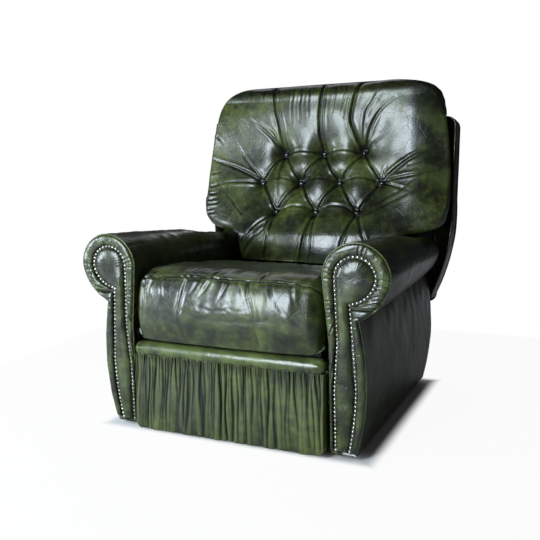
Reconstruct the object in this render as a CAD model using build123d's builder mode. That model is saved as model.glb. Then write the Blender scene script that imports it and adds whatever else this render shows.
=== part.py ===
from build123d import *
from math import atan2, cos, degrees, hypot, pi, radians, sin, tan
import os

# Reclining armchair in buttoned leather, as separate pieces on one frame. Sizes are in millimetres.
# The chair stands on Z = 0 and faces -Y, and +X is the viewer's right as they face it. A depth is
# measured rearwards from the front plane of the arms' facing boards.
os.makedirs("parts", exist_ok=True)

# Whole chair
overall_depth = 990.0
seat_overhang = 38.0
front_y = seat_overhang - overall_depth / 2
overrun = 60.0
soft_gap = 0.4
sides = {"left": -1, "right": 1}

# Arms: the outline of the facing and the roll behind it
arm_length = 752.0
arm_bottom = 15.0
arm_inner_x = 316.0
arm_knee_z = 320.0
scroll_radius = 95.0
scroll_x = 393.0
scroll_z = 506.0
neck_x = 400.0
neck_z = 395.0
belly_x = 420.0
belly_z = 190.0
foot_x = 390.0
# The roll at its front, its middle and its rear, along the arm
roll_depth_shares = (0.0, 0.52, 0.80, 1.0)
roll_radius_shares = (1.0, 0.82, 0.66, 0.54)
roll_drop_shares = (0.0, 0.18, 0.37, 0.40)
diagonal_share = sin(pi / 4)

# Arm timber: a post at each end, a rail above and below, and a board between them
arm_frame_thickness = 28.0
arm_frame_height = 300.0
arm_post_width = 50.0
arm_rail_height = 60.0
arm_board_thickness = 12.0

# Facing on the front of each arm
facing_thickness = 18.0
facing_pad_height = 10.0
facing_pad_round = 4.5
border_round = 2.0
pad_step_shares = ((0.0, 0.55), (0.35, 0.85), (1.0, 1.0))
nail_valley = 5.8
panel_head_radius = 57.0
panel_head_x = 390.0
panel_corner_x = 375.0
panel_corner_z = 437.0
panel_hip_x = 391.0
panel_hip_z = 200.0
panel_foot_x = 370.0
panel_inner_foot_x = 331.0
panel_waist_x = 340.0
panel_waist_z = 330.0
panel_inner_hip_x = 330.0
strip_top_z = 425.0
strip_inner_x = 375.0
pad_edge_gap = 1.0

# Decorative nails
nail_radius = 5.2
nail_height = 3.2
nail_pitch = 12.0
back_nail_radius = 4.0
back_nail_height = 2.4
back_nail_pitch = 11.5

# Steel flats of the mechanism, in layers one pitch apart, counted inwards from the arm frame
flat_thickness = 4.0
layer_pitch = 6.0
link_width = 18.0
pin_radius = 4.0
pin_head_radius = 7.0
pin_head_thickness = 1.4
running_clearance = 0.05
washer_clearance = 0.3
ear_radius = 14.0

# Glide links that carry the seat
glide_length = 130.0
glide_top_z = 230.0
glide_front_depth = 120.0
glide_rear_depth = 560.0

# Base plates, rails and panel
base_plate_top = 260.0
base_plate_bottom = 200.0
base_plate_front = 22.0
base_rail_depth = 330.0
base_rail_thickness = 25.0
base_rail_bottom = 25.0
base_rail_height = 60.0
rear_panel_thickness = 16.0
rear_panel_top = 284.0
rear_panel_gap = 1.0
foot_radius = 13.0
foot_inset = 45.0
screw_radius = 3.0
screw_length = 24.0
screw_spacing = 30.0

# Seat carriage
seat_frame_top = 286.0
seat_rail_height = 36.0
seat_rail_width = 34.0
seat_frame_front = 36.0
seat_frame_rear = 715.0
seat_frame_half_width = 278.0
seat_plate_front = 95.0
seat_plate_height = 40.0
seat_leg_width = 28.0
spacer_radius = 10.0
bolt_radius = 5.0
spacer_front_depth = 330.0
spacer_rear_depth = 640.0
wire_radius = 1.75
seat_spring_count = 5
seat_spring_half_width = 22.0
seat_spring_pitch = 46.0

# Seat cushion
seat_cushion_bottom = seat_frame_top + 2 * wire_radius + soft_gap
seat_cushion_half_width = 290.0
seat_cushion_rear = 722.0
seat_cushion_height = 218.0
seat_end_inset = 14.0

# Footrest: the panel hangs below the roll and swings out and up as one piece
footrest_half_width = 300.0
footrest_bottom = 16.0
footrest_pad_front = -9.0
footrest_board_front = 8.0
footrest_board_thickness = 17.0
footrest_board_inset = 12.0
footrest_roll_radius = 22.0
footrest_roll_depth = 4.0
footrest_roll_end_round = 12.0
footrest_top = 278.0
footrest_split = 238.0
footrest_angle = 85.0
footrest_forward = 190.0
footrest_lift = 93.0
footrest_fold_count = 30
footrest_fold_height = 4.5
footrest_corner = 26.0

# Footrest linkage pivots
lift_pivot_depth = 150.0
lift_pivot_z = 270.0
bracket_pivot_depth = 40.0
bracket_pivot_z = 255.0
guide_offset_share = 0.27
rear_offset_share = 0.25
tube_place_share = 0.35
tube_radius = 9.0
bracket_foot_z = 140.0
bracket_flange = 22.0
bracket_screw_shares = (0.25, 0.75)

# Back frame: a leaning plane, with its outline in that plane
back_lean = 7.5
back_foot_depth = 776.0
back_foot_z = 350.0
back_pivot_depth = 800.0
back_pivot_z = 300.0
back_box_depth = 62.0
outer_back_thickness = 38.0
outer_back_round = 20.0
shell_half_width = 474.0
shell_low_inset = 60.0
shell_foot_inset = 89.0
shell_low_half_width = shell_half_width - shell_low_inset
shell_foot_half_width = shell_half_width - shell_foot_inset
shell_bottom = -70.0
shell_low_rise = 34.0
shell_wide_rise = 300.0
shell_top = 588.0
shell_corner = 34.0
shell_bend_share = 0.37
band_thickness = 5.0
band_bottom = -55.0
post_clearance = 5.0
post_half_span = shell_low_half_width - band_thickness - post_clearance
post_width = 38.0
back_rail_height = 40.0
top_rail_rise = 540.0
mid_rail_rise = 250.0
back_nail_setback = 30.0
back_nail_foot = 190.0
back_spring_count = 4
back_spring_half_width = 24.0
back_spring_pitch = 52.0
bracket_plate_length = 60.0

# Back cushion
back_cushion_bottom = 428.0
back_cushion_height = 612.0
back_cushion_half_width = shell_half_width
back_cushion_front = 790.0
button_radius = 9.5
button_height = 6.0
back_side_round_share = 0.25
tuft_radius = 58.0
tuft_lean = 25.0
crease_rise = 14.0
crease_half_width = 8.0
crease_reach = 46.0


def at_depth(depth):
    """The Y of a place this far behind the front plane of the facings."""
    return front_y + depth


def facing_plane(depth):
    """An upright plane across the chair, seen from the front, at a depth."""
    return Plane.XZ.offset(-at_depth(depth))


def save(piece, name):
    """Label one finished piece and write it under its own name."""
    piece.part.label = name
    export_step(piece.part, "parts/" + name + ".step")


def plus(first, second, share=1.0):
    """The first (depth, height) point moved by a share of the second."""
    return (first[0] + share * second[0], first[1] + share * second[1])


# Footrest linkage. The panel turns about a pole that no pin stands on: the pole is found from how
# far the panel's top edge travels, and two parallelograms of straight links hold the panel to it.
half_angle = radians(footrest_angle) / 2
travel = hypot(footrest_forward, footrest_lift)
pole_rise = travel / 2 / tan(half_angle)
pole = (
    -footrest_forward / 2 + pole_rise * footrest_lift / travel,
    footrest_top + footrest_lift / 2 + pole_rise * footrest_forward / travel,
)
lift_pivot = (lift_pivot_depth, lift_pivot_z)
bracket_pivot = (bracket_pivot_depth, bracket_pivot_z)
link_arm = (bracket_pivot[0] - pole[0], bracket_pivot[1] - pole[1])
long_arm = (pole[0] - lift_pivot[0], pole[1] - lift_pivot[1])
long_pivot = plus(lift_pivot, link_arm)
guide_pivot = plus(long_pivot, link_arm, guide_offset_share)
bracket_guide_pivot = plus(bracket_pivot, link_arm, guide_offset_share)
rear_lift_pivot = plus(lift_pivot, long_arm, -rear_offset_share)
rear_long_pivot = plus(long_pivot, long_arm, -rear_offset_share)
tube_place = plus(lift_pivot, link_arm, tube_place_share)
glide_bottom_z = glide_top_z - glide_length
print("pole at depth", round(pole[0], 3), "height", round(pole[1], 3))
for pivot_name, pivot in (
    ("lift pivot", lift_pivot),
    ("long pivot", long_pivot),
    ("guide pivot", guide_pivot),
    ("bracket pivot", bracket_pivot),
    ("bracket guide pivot", bracket_guide_pivot),
    ("rear lift pivot", rear_lift_pivot),
    ("rear long pivot", rear_long_pivot),
):
    print(pivot_name, "y", round(at_depth(pivot[0]), 4), "z", round(pivot[1], 4))


# Arms
def arm_section(side, station):
    """One cross-section of the arm: foot, inner face, roll, neck and outer belly."""
    radius = scroll_radius * roll_radius_shares[station]
    centre_x = scroll_x
    centre_z = scroll_z - scroll_radius * roll_drop_shares[station]
    depth = facing_thickness + (arm_length - facing_thickness) * roll_depth_shares[station]
    return arm_outline(side, depth, radius, centre_x, centre_z)


def arm_outline(side, depth, radius, centre_x, centre_z):
    """The closed outline of an arm at one depth."""
    slant = radius * diagonal_share
    with BuildSketch(facing_plane(depth)) as section:
        with BuildLine():
            inner_foot = (side * arm_inner_x, arm_bottom)
            inner_knee = (side * arm_inner_x, arm_knee_z)
            roll_inner = (side * (centre_x - radius), centre_z)
            roll_top = (side * centre_x, centre_z + radius)
            roll_outer = (side * (centre_x + radius), centre_z)
            roll_top_inner = (side * (centre_x - slant), centre_z + slant)
            roll_top_outer = (side * (centre_x + slant), centre_z + slant)
            roll_low_outer = (side * (centre_x + slant), centre_z - slant)
            neck = (side * neck_x, neck_z)
            outer_foot = (side * foot_x, arm_bottom)
            Line(inner_foot, inner_knee)
            Line(inner_knee, roll_inner)
            ThreePointArc(roll_inner, roll_top_inner, roll_top)
            ThreePointArc(roll_top, roll_top_outer, roll_outer)
            ThreePointArc(roll_outer, roll_low_outer, neck)
            ThreePointArc(neck, (side * belly_x, belly_z), outer_foot)
            Line(outer_foot, inner_foot)
        make_face()
    return section.sketch


def panel_edge(side, depth):
    """The line that the facing's nails follow: up the inner side, round the head and down."""
    slant = panel_head_radius * diagonal_share
    foot_z = arm_bottom + nail_valley
    head_left = panel_head_x - slant
    head_right = panel_head_x + slant
    with BuildLine(facing_plane(depth)) as line:
        inner_foot = (side * panel_inner_foot_x, foot_z)
        inner_hip = (side * panel_inner_hip_x, panel_hip_z)
        waist = (side * panel_waist_x, panel_waist_z)
        head_inner = (side * (panel_head_x - panel_head_radius), scroll_z)
        head_top = (side * panel_head_x, scroll_z + panel_head_radius)
        head_outer = (side * (panel_head_x + panel_head_radius), scroll_z)
        corner = (side * panel_corner_x, panel_corner_z)
        outer_hip = (side * panel_hip_x, panel_hip_z)
        outer_foot = (side * panel_foot_x, foot_z)
        Line(inner_foot, inner_hip)
        Line(inner_hip, waist)
        Line(waist, head_inner)
        ThreePointArc(head_inner, (side * head_left, scroll_z + slant), head_top)
        ThreePointArc(head_top, (side * head_right, scroll_z + slant), head_outer)
        ThreePointArc(head_outer, (side * head_right, scroll_z - slant), corner)
        shoulder_x = (panel_corner_x + panel_hip_x) / 2
        ThreePointArc(corner, (side * shoulder_x, panel_waist_z), outer_hip)
        calf_x = (panel_hip_x + panel_foot_x + nail_valley) / 2
        ThreePointArc(outer_hip, (side * calf_x, panel_hip_z / 2), outer_foot)
    return line


def panel_shape(side, depth, grow):
    """The facing's centre panel, grown or shrunk from its line of nails."""
    edge = panel_edge(side, depth)
    with BuildSketch(facing_plane(depth)) as shape:
        with BuildLine():
            add(facing_plane(depth).to_local_coords(edge.line))
            foot_z = arm_bottom + nail_valley
            Line((side * panel_foot_x, foot_z), (side * panel_inner_foot_x, foot_z))
        make_face()
        offset(amount=grow)
    return shape.sketch


def border_shape(side, depth, strip):
    """What lies between the board's edge and the nails: the border, or the outer strip below the neck."""
    strip_width = scroll_x + scroll_radius - strip_inner_x + overrun
    strip_centre_x = side * (strip_inner_x + strip_width / 2)
    cut = Mode.INTERSECT if strip else Mode.SUBTRACT
    strip_top = strip_top_z - pad_edge_gap if strip else strip_top_z
    with BuildSketch(facing_plane(depth)) as shape:
        add(facing_plane(depth).to_local_coords(arm_outline(side, depth, scroll_radius, scroll_x, scroll_z)))
        offset(amount=-pad_edge_gap, kind=Kind.INTERSECTION)
        add(facing_plane(depth).to_local_coords(panel_shape(side, depth, nail_valley)), mode=Mode.SUBTRACT)
        with Locations((strip_centre_x, strip_top - strip_top_z / 2)):
            Rectangle(strip_width, strip_top_z, mode=cut)
        foot_height = arm_bottom + nail_valley * 2
        with Locations((side * scroll_x, 0)):
            Rectangle(scroll_x, foot_height * 2, mode=Mode.SUBTRACT)
    return shape.sketch


def add_facing_pad(shape, rounding):
    """Add a facing pad in steps that draw in towards its crown."""
    for inset_share, height_share in pad_step_shares:
        with BuildSketch(facing_plane(0)) as step:
            add(facing_plane(0).to_local_coords(shape))
            if inset_share > 0:
                offset(amount=-rounding * inset_share)
        extrude(to_extrude=step.sketch, amount=facing_pad_height * height_share)


def dome(radius, height):
    """A domed nail head that stands on its flat side and points up."""
    with BuildPart() as head:
        with BuildSketch(Plane.XZ):
            with BuildLine():
                Line((0, height), (0, 0))
                Line((0, 0), (radius, 0))
                RadiusArc((radius, 0), (0, height), -(radius * radius + height * height) / (2 * height))
            make_face()
        revolve(axis=Axis.Z)
    return head.part


def shares_along(line, pitch):
    """Shares of a line's length about one pitch apart, half a pitch in from its ends."""
    count = int(line.length / pitch)
    return [(2 * index + 1) / (2 * count) for index in range(count)]


def screw_places(side):
    """Where the base plate's screws enter the two posts of an arm frame."""
    front_post = facing_thickness + arm_post_width / 2
    rear_post = arm_length - arm_post_width / 2
    middle_z = (base_plate_top + base_plate_bottom) / 2
    places = []
    for depth in (front_post, rear_post):
        for step in (-1, 1):
            places.append((at_depth(depth), middle_z + step * screw_spacing / 2))
    return places


def layer_plane(side, layer):
    """The plane of a steel layer's face that has the lower X, for an extrusion towards +X."""
    outer_x = arm_inner_x - layer * layer_pitch
    return Plane.YZ.offset(outer_x - flat_thickness) if side > 0 else Plane.YZ.offset(-outer_x)


def add_flats(layer, draw):
    """Add one steel flat on each side of the chair, drawn by the given function."""
    for side in sides.values():
        with BuildSketch(layer_plane(side, layer)) as flat:
            draw()
        extrude(to_extrude=flat.sketch, amount=flat_thickness)


def draw_link(pivots, radii):
    """Draw a straight link with round ends through its pivots, and its bores."""
    start = (at_depth(pivots[0][0]), pivots[0][1])
    end = (at_depth(pivots[-1][0]), pivots[-1][1])
    run = (end[0] - start[0], end[1] - start[1])
    with Locations(((start[0] + end[0]) / 2, (start[1] + end[1]) / 2)):
        SlotCenterToCenter(hypot(*run), link_width, rotation=degrees(atan2(run[1], run[0])))
    draw_bores(pivots, radii)


def draw_bores(pivots, radii):
    """Cut a round bore at each pivot."""
    for pivot, radius in zip(pivots, radii):
        with Locations((at_depth(pivot[0]), pivot[1])):
            Circle(radius, mode=Mode.SUBTRACT)


def add_disc(side, place, radius, near_x, far_x):
    """Add a round bar along X between two distances from the chair's middle."""
    low_x = near_x if side > 0 else -far_x
    with BuildSketch(Plane.YZ.offset(low_x)) as disc:
        with Locations((at_depth(place[0]), place[1])):
            Circle(radius)
    extrude(to_extrude=disc.sketch, amount=far_x - near_x)


def add_pins(place, outer_layer, held_outside):
    """Add a headed pin through two neighbouring layers, tight in one and free in the other."""
    outer_x = arm_inner_x - outer_layer * layer_pitch
    inner_x = outer_x - layer_pitch - flat_thickness
    gap_x = outer_x - flat_thickness
    spacer = layer_pitch - flat_thickness - washer_clearance
    for side in sides.values():
        outer_slack = 0 if held_outside else washer_clearance
        inner_slack = washer_clearance if held_outside else 0
        outer_end = outer_x
        if outer_layer > 0:
            outer_end = outer_x + outer_slack + pin_head_thickness
            add_disc(side, place, pin_head_radius, outer_x + outer_slack, outer_end)
        inner_end = inner_x - inner_slack - pin_head_thickness
        add_disc(side, place, pin_radius, inner_end, outer_end)
        add_disc(side, place, pin_head_radius, inner_end, inner_x - inner_slack)
        spacer_near = gap_x - spacer if held_outside else gap_x - layer_pitch + flat_thickness
        add_disc(side, place, pin_head_radius, spacer_near, spacer_near + spacer)


tight_bore = pin_radius
free_bore = pin_radius + running_clearance

# Each arm, from the outside in: the pad with its roll, the timber frame, and the dressed facing
facing_nail = dome(nail_radius, nail_height)
for side_name, side in sides.items():
    with BuildPart() as arm_pad:
        loft(sections=[arm_section(side, station) for station in range(len(roll_depth_shares))])
        with Locations((side * arm_inner_x, at_depth(arm_length / 2), arm_bottom + arm_frame_height / 2)):
            Box(arm_frame_thickness * 2, arm_length + overrun, arm_frame_height, mode=Mode.SUBTRACT)
    save(arm_pad, side_name + "_arm_pad")

    frame_length = arm_length - facing_thickness
    frame_middle = (
        side * (arm_inner_x + arm_frame_thickness / 2),
        at_depth(facing_thickness + frame_length / 2),
        arm_bottom + arm_frame_height / 2,
    )
    with BuildPart() as arm_frame:
        with Locations(frame_middle):
            Box(arm_frame_thickness, frame_length, arm_frame_height)
        recess_depth = arm_frame_thickness - arm_board_thickness
        with Locations((side * (arm_inner_x + recess_depth / 2), frame_middle[1], frame_middle[2])):
            Box(
                recess_depth,
                frame_length - 2 * arm_post_width,
                arm_frame_height - 2 * arm_rail_height,
                mode=Mode.SUBTRACT,
            )
        low_x = arm_inner_x if side > 0 else -arm_inner_x - screw_length + flat_thickness
        with BuildSketch(Plane.YZ.offset(low_x)) as screw_holes:
            with Locations(*screw_places(side)):
                Circle(screw_radius)
        extrude(to_extrude=screw_holes.sketch, amount=screw_length - flat_thickness, mode=Mode.SUBTRACT)
    save(arm_frame, side_name + "_arm_frame")

    with BuildPart() as facing_board:
        outline = arm_outline(side, facing_thickness, scroll_radius, scroll_x, scroll_z)
        extrude(to_extrude=outline, amount=facing_thickness)
    save(facing_board, side_name + "_facing_board")

    with BuildPart() as facing_panel:
        add_facing_pad(panel_shape(side, 0, -nail_valley), facing_pad_round)
    save(facing_panel, side_name + "_facing_panel")

    with BuildPart() as facing_border:
        add_facing_pad(border_shape(side, 0, False), border_round)
    save(facing_border, side_name + "_facing_border")

    with BuildPart() as outer_strip:
        add_facing_pad(border_shape(side, 0, True), border_round)
    save(outer_strip, side_name + "_outer_strip")

    nail_edge = panel_edge(side, 0).wire()
    with BuildPart() as facing_nails:
        for share in shares_along(nail_edge, nail_pitch):
            with Locations(Plane(origin=nail_edge.position_at(share), z_dir=(0, -1, 0))):
                add(facing_nail)
    save(facing_nails, side_name + "_facing_nails")

# Base: two steel plates on the arm frames, timber rails between them, the rear panel and the feet
base_pivots = [
    (glide_front_depth, glide_top_z),
    (glide_rear_depth, glide_top_z),
    (back_pivot_depth, back_pivot_z),
]


def draw_base_plate():
    """Draw the base plate: a bar along the arm, with an ear behind it for the back's pivot."""
    bar_length = arm_length - base_plate_front
    bar_height = base_plate_top - base_plate_bottom
    with Locations((at_depth(base_plate_front + bar_length / 2), base_plate_bottom + bar_height / 2)):
        Rectangle(bar_length, bar_height)
    ear_start = (at_depth(arm_length - bar_height), base_plate_top - ear_radius)
    ear_end = (at_depth(back_pivot_depth), back_pivot_z)
    ear_run = (ear_end[0] - ear_start[0], ear_end[1] - ear_start[1])
    with Locations(((ear_start[0] + ear_end[0]) / 2, (ear_start[1] + ear_end[1]) / 2)):
        SlotCenterToCenter(hypot(*ear_run), 2 * ear_radius, rotation=degrees(atan2(ear_run[1], ear_run[0])))
    draw_bores(base_pivots, [tight_bore] * len(base_pivots))
    with Locations(*screw_places(1)):
        Circle(screw_radius, mode=Mode.SUBTRACT)


with BuildPart() as base_plates:
    add_flats(0, draw_base_plate)
save(base_plates, "base_side_plates")

with BuildPart() as base_screws:
    for side in sides.values():
        for screw_y, screw_z in screw_places(side):
            far_x = arm_inner_x - flat_thickness + screw_length
            add_disc(side, (screw_y - front_y, screw_z), screw_radius, arm_inner_x - flat_thickness, far_x)
save(base_screws, "base_plate_screws")

with BuildPart() as base_pins:
    for base_pivot in base_pivots:
        add_pins(base_pivot, 0, True)
save(base_pins, "base_pivot_pins")

rear_panel_front = arm_length - rear_panel_thickness
with BuildPart() as base_rails:
    for rail_depth in (base_rail_depth, rear_panel_front - base_rail_thickness):
        rail_y = at_depth(rail_depth + base_rail_thickness / 2)
        with Locations((0, rail_y, base_rail_bottom + base_rail_height / 2)):
            Box(2 * arm_inner_x, base_rail_thickness, base_rail_height)
save(base_rails, "base_cross_rails")

with BuildPart() as rear_panel:
    panel_height = rear_panel_top - arm_bottom
    panel_half_width = arm_inner_x - flat_thickness - rear_panel_gap
    panel_y = at_depth(rear_panel_front + rear_panel_thickness / 2)
    with Locations((0, panel_y, arm_bottom + panel_height / 2)):
        Box(2 * panel_half_width, rear_panel_thickness, panel_height)
save(rear_panel, "rear_panel")

with BuildPart() as feet:
    for side in sides.values():
        for foot_depth in (facing_thickness + foot_inset, arm_length - foot_inset):
            foot_x_place = side * (arm_inner_x + arm_frame_thickness / 2)
            with Locations((foot_x_place, at_depth(foot_depth), arm_bottom / 2)):
                Cylinder(foot_radius, arm_bottom)
save(feet, "floor_glides")

# Glide links: the seat hangs from them and swings forwards
for link_name, link_depth in (("front", glide_front_depth), ("rear", glide_rear_depth)):
    glide_pivots = [(link_depth, glide_top_z), (link_depth, glide_bottom_z)]
    with BuildPart() as glide_links:
        add_flats(1, lambda: draw_link(glide_pivots, [free_bore, free_bore]))
    save(glide_links, link_name + "_glide_links")

# Seat carriage: side plates, rails, spacers and springs
seat_pivots = [
    (glide_front_depth, glide_bottom_z),
    (glide_rear_depth, glide_bottom_z),
    lift_pivot,
    rear_lift_pivot,
]
spacer_z = seat_frame_top - seat_rail_height / 2
spacer_places = [(spacer_front_depth, spacer_z), (spacer_rear_depth, spacer_z)]


def draw_seat_plate():
    """Draw the seat's side plate: a bar under the cushion with two legs and an ear."""
    bar_length = seat_frame_rear - seat_plate_front
    bar_y = at_depth(seat_plate_front + bar_length / 2)
    with Locations((bar_y, seat_frame_top - seat_plate_height / 2)):
        Rectangle(bar_length, seat_plate_height)
    leg_length = seat_frame_top - seat_plate_height / 2 - glide_bottom_z
    for leg_depth in (glide_front_depth, glide_rear_depth):
        with Locations((at_depth(leg_depth), glide_bottom_z + leg_length / 2)):
            SlotCenterToCenter(leg_length, seat_leg_width, rotation=90)
    ear_reach = seat_frame_top - seat_plate_height / 2 - rear_lift_pivot[1]
    with Locations((at_depth(rear_lift_pivot[0]), rear_lift_pivot[1] + ear_reach / 2)):
        SlotCenterToCenter(ear_reach, seat_leg_width, rotation=90)
    draw_bores(seat_pivots, [tight_bore] * len(seat_pivots))
    draw_bores(spacer_places, [bolt_radius] * len(spacer_places))


with BuildPart() as seat_plates:
    add_flats(2, draw_seat_plate)
save(seat_plates, "seat_side_plates")

with BuildPart() as seat_pins:
    for seat_pivot in seat_pivots[:2]:
        add_pins(seat_pivot, 1, False)
    for seat_pivot in seat_pivots[2:]:
        add_pins(seat_pivot, 2, True)
save(seat_pins, "seat_pivot_pins")

seat_plate_outer_x = arm_inner_x - 2 * layer_pitch
seat_plate_inner_x = seat_plate_outer_x - flat_thickness
bolt_inner_x = seat_frame_half_width - seat_rail_width / 2
seat_rail_length = seat_frame_rear - seat_frame_front
with BuildPart() as side_rails:
    for side in sides.values():
        rail_x = side * (seat_frame_half_width - seat_rail_width / 2)
        with Locations((rail_x, at_depth(seat_frame_front + seat_rail_length / 2), spacer_z)):
            Box(seat_rail_width, seat_rail_length, seat_rail_height)
        low_x = bolt_inner_x if side > 0 else -seat_frame_half_width
        with BuildSketch(Plane.YZ.offset(low_x)) as bolt_holes:
            for place in spacer_places:
                with Locations((at_depth(place[0]), place[1])):
                    Circle(bolt_radius)
        extrude(to_extrude=bolt_holes.sketch, amount=seat_frame_half_width - bolt_inner_x, mode=Mode.SUBTRACT)
save(side_rails, "seat_side_rails")

with BuildPart() as cross_rails:
    cross_half_width = seat_frame_half_width - seat_rail_width
    for rail_depth in (seat_frame_front, seat_frame_rear - seat_rail_width):
        with Locations((0, at_depth(rail_depth + seat_rail_width / 2), spacer_z)):
            Box(2 * cross_half_width, seat_rail_width, seat_rail_height)
save(cross_rails, "seat_cross_rails")

with BuildPart() as seat_spacers:
    for side in sides.values():
        for place in spacer_places:
            add_disc(side, place, spacer_radius, seat_frame_half_width, seat_plate_inner_x)
            low_x = seat_frame_half_width if side > 0 else -seat_plate_inner_x
            with BuildSketch(Plane.YZ.offset(low_x)) as bolt_hole:
                with Locations((at_depth(place[0]), place[1])):
                    Circle(bolt_radius)
            spacer_length = seat_plate_inner_x - seat_frame_half_width
            extrude(to_extrude=bolt_hole.sketch, amount=spacer_length, mode=Mode.SUBTRACT)
save(seat_spacers, "seat_spacers")

with BuildPart() as seat_bolts:
    for side in sides.values():
        for place in spacer_places:
            add_disc(side, place, bolt_radius, bolt_inner_x, seat_plate_outer_x)
save(seat_bolts, "seat_bolts")


def meander(plane, start, length, half_width, pitch):
    """A zigzag wire spring along the plane's second direction, as a path with round turns."""
    turns = int(length / pitch)
    step = length / turns
    points = [(start[0] - half_width, start[1])]
    for turn in range(turns + 1):
        across = half_width if turn % 2 == 0 else -half_width
        points.append((start[0] + across, start[1] + turn * step))
        if turn < turns:
            points.append((start[0] + across, start[1] + (turn + 1) * step))
    with BuildLine(plane) as path:
        FilletPolyline(*points, radius=min(step / 2, half_width) - wire_radius)
    return path


def add_spring(path):
    """Sweep the spring wire along its path."""
    with BuildSketch(Plane(origin=path.wire() @ 0, z_dir=path.wire() % 0)) as wire_section:
        Circle(wire_radius)
    sweep(sections=wire_section.sketch, path=path.wire())


spring_plane = Plane.XY.offset(seat_frame_top + wire_radius)
spring_start_depth = seat_frame_front + seat_rail_width / 2
spring_length = seat_rail_length - seat_rail_width
spring_span = 2 * (cross_half_width - seat_spring_half_width) / seat_spring_count
with BuildPart() as seat_springs:
    for index in range(seat_spring_count):
        spring_x = (index - (seat_spring_count - 1) / 2) * spring_span
        start = (spring_x, at_depth(spring_start_depth))
        add_spring(meander(spring_plane, start, spring_length, seat_spring_half_width, seat_spring_pitch))
save(seat_springs, "seat_springs")

# Seat cushion: a crowned block, rounded at the front, with its ends drawn in
seat_cushion_length = seat_cushion_rear + seat_overhang
seat_station_shares = (-1.0, -0.88, 0.0, 0.88, 1.0)
seat_crown_shares = (0.92, 0.97, 1.0, 0.97, 0.92)
seat_inset_shares = (1.0, 0.3, 0.0, 0.3, 1.0)
seat_profile_shares = (
    (0.022, 0.0),
    (0.0, 0.42),
    (0.034, 0.835),
    (0.10, 0.955),
    (0.20, 1.0),
    (0.55, 0.90),
    (0.86, 0.605),
    (0.965, 0.495),
    (1.0, 0.36),
    (0.99, 0.0),
)


def seat_section(station):
    """One lengthwise section of the seat cushion."""
    inset = seat_end_inset * seat_inset_shares[station]
    crown = seat_cushion_height * seat_crown_shares[station]
    points = []
    for length_share, height_share in seat_profile_shares:
        depth = -seat_overhang + inset + (seat_cushion_length - inset) * length_share
        points.append((at_depth(depth), seat_cushion_bottom + crown * height_share))
    with BuildSketch(Plane.YZ.offset(seat_cushion_half_width * seat_station_shares[station])) as section:
        with BuildLine():
            for first in range(0, len(points) - 2, 2):
                ThreePointArc(points[first], points[first + 1], points[first + 2])
            Line(points[-2], points[-1])
            Line(points[-1], points[0])
        make_face()
    return section.sketch


with BuildPart() as seat_cushion:
    loft(sections=[seat_section(station) for station in range(len(seat_station_shares))])
save(seat_cushion, "seat_cushion")

# Footrest linkage: two parallelograms of links on each side of the seat
with BuildPart() as lift_links:
    bores = [free_bore, tight_bore, tight_bore]
    add_flats(3, lambda: draw_link([lift_pivot, long_pivot, guide_pivot], bores))
save(lift_links, "lift_links")

link_inner_x = arm_inner_x - 3 * layer_pitch - flat_thickness
with BuildPart() as lift_tube:
    with BuildSketch(Plane.YZ.offset(-link_inner_x)):
        with Locations((at_depth(tube_place[0]), tube_place[1])):
            Circle(tube_radius)
            Circle(tube_radius - wire_radius, mode=Mode.SUBTRACT)
    extrude(amount=2 * link_inner_x)
save(lift_tube, "lift_cross_tube")

with BuildPart() as lift_pins:
    add_pins(long_pivot, 3, True)
    add_pins(guide_pivot, 3, True)
save(lift_pins, "lift_link_pins")

with BuildPart() as rear_lift_links:
    add_flats(3, lambda: draw_link([rear_lift_pivot, rear_long_pivot], [free_bore, free_bore]))
save(rear_lift_links, "rear_lift_links")

with BuildPart() as long_links:
    bores = [tight_bore, free_bore, tight_bore]
    add_flats(4, lambda: draw_link([rear_long_pivot, long_pivot, bracket_pivot], bores))
save(long_links, "long_links")

with BuildPart() as long_pins:
    add_pins(rear_long_pivot, 3, False)
    add_pins(bracket_pivot, 4, True)
save(long_pins, "long_link_pins")

with BuildPart() as guide_links:
    add_flats(4, lambda: draw_link([guide_pivot, bracket_guide_pivot], [free_bore, free_bore]))
save(guide_links, "guide_links")

# Footrest: brackets, board, gathered pad and the padded roll along its top
board_rear = footrest_board_front + footrest_board_thickness
bracket_screw_places = [
    bracket_foot_z + (footrest_split - bracket_foot_z) * share for share in bracket_screw_shares
]
bracket_outer_x = arm_inner_x - 5 * layer_pitch
bracket_screw_x = bracket_outer_x - flat_thickness - bracket_flange / 2


def draw_bracket():
    """Draw the bracket plate that stands on the board's rear face and holds both links."""
    corners = [
        (board_rear, bracket_foot_z),
        (board_rear, footrest_split),
        bracket_pivot,
        bracket_guide_pivot,
        (board_rear + link_width, bracket_foot_z),
    ]
    Polygon(*[(at_depth(corner[0]), corner[1]) for corner in corners], align=None)
    for pivot in (bracket_pivot, bracket_guide_pivot):
        with Locations((at_depth(pivot[0]), pivot[1])):
            Circle(link_width / 2)
    draw_bores([bracket_pivot, bracket_guide_pivot], [free_bore, tight_bore])


def cut_screw_holes(near_depth, far_depth):
    """Cut the bracket screws' holes between two depths."""
    with BuildSketch(facing_plane(far_depth)) as holes:
        for side in sides.values():
            for screw_z in bracket_screw_places:
                with Locations((side * bracket_screw_x, screw_z)):
                    Circle(screw_radius)
    extrude(to_extrude=holes.sketch, amount=far_depth - near_depth, mode=Mode.SUBTRACT)


with BuildPart() as brackets:
    add_flats(5, draw_bracket)
    flange_height = footrest_split - bracket_foot_z
    for side in sides.values():
        flange_x = side * (bracket_outer_x - (bracket_flange + flat_thickness) / 2)
        flange_y = at_depth(board_rear + flat_thickness / 2)
        with Locations((flange_x, flange_y, bracket_foot_z + flange_height / 2)):
            Box(bracket_flange + flat_thickness, flat_thickness, flange_height)
    cut_screw_holes(board_rear, board_rear + flat_thickness)
save(brackets, "footrest_brackets")

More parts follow.
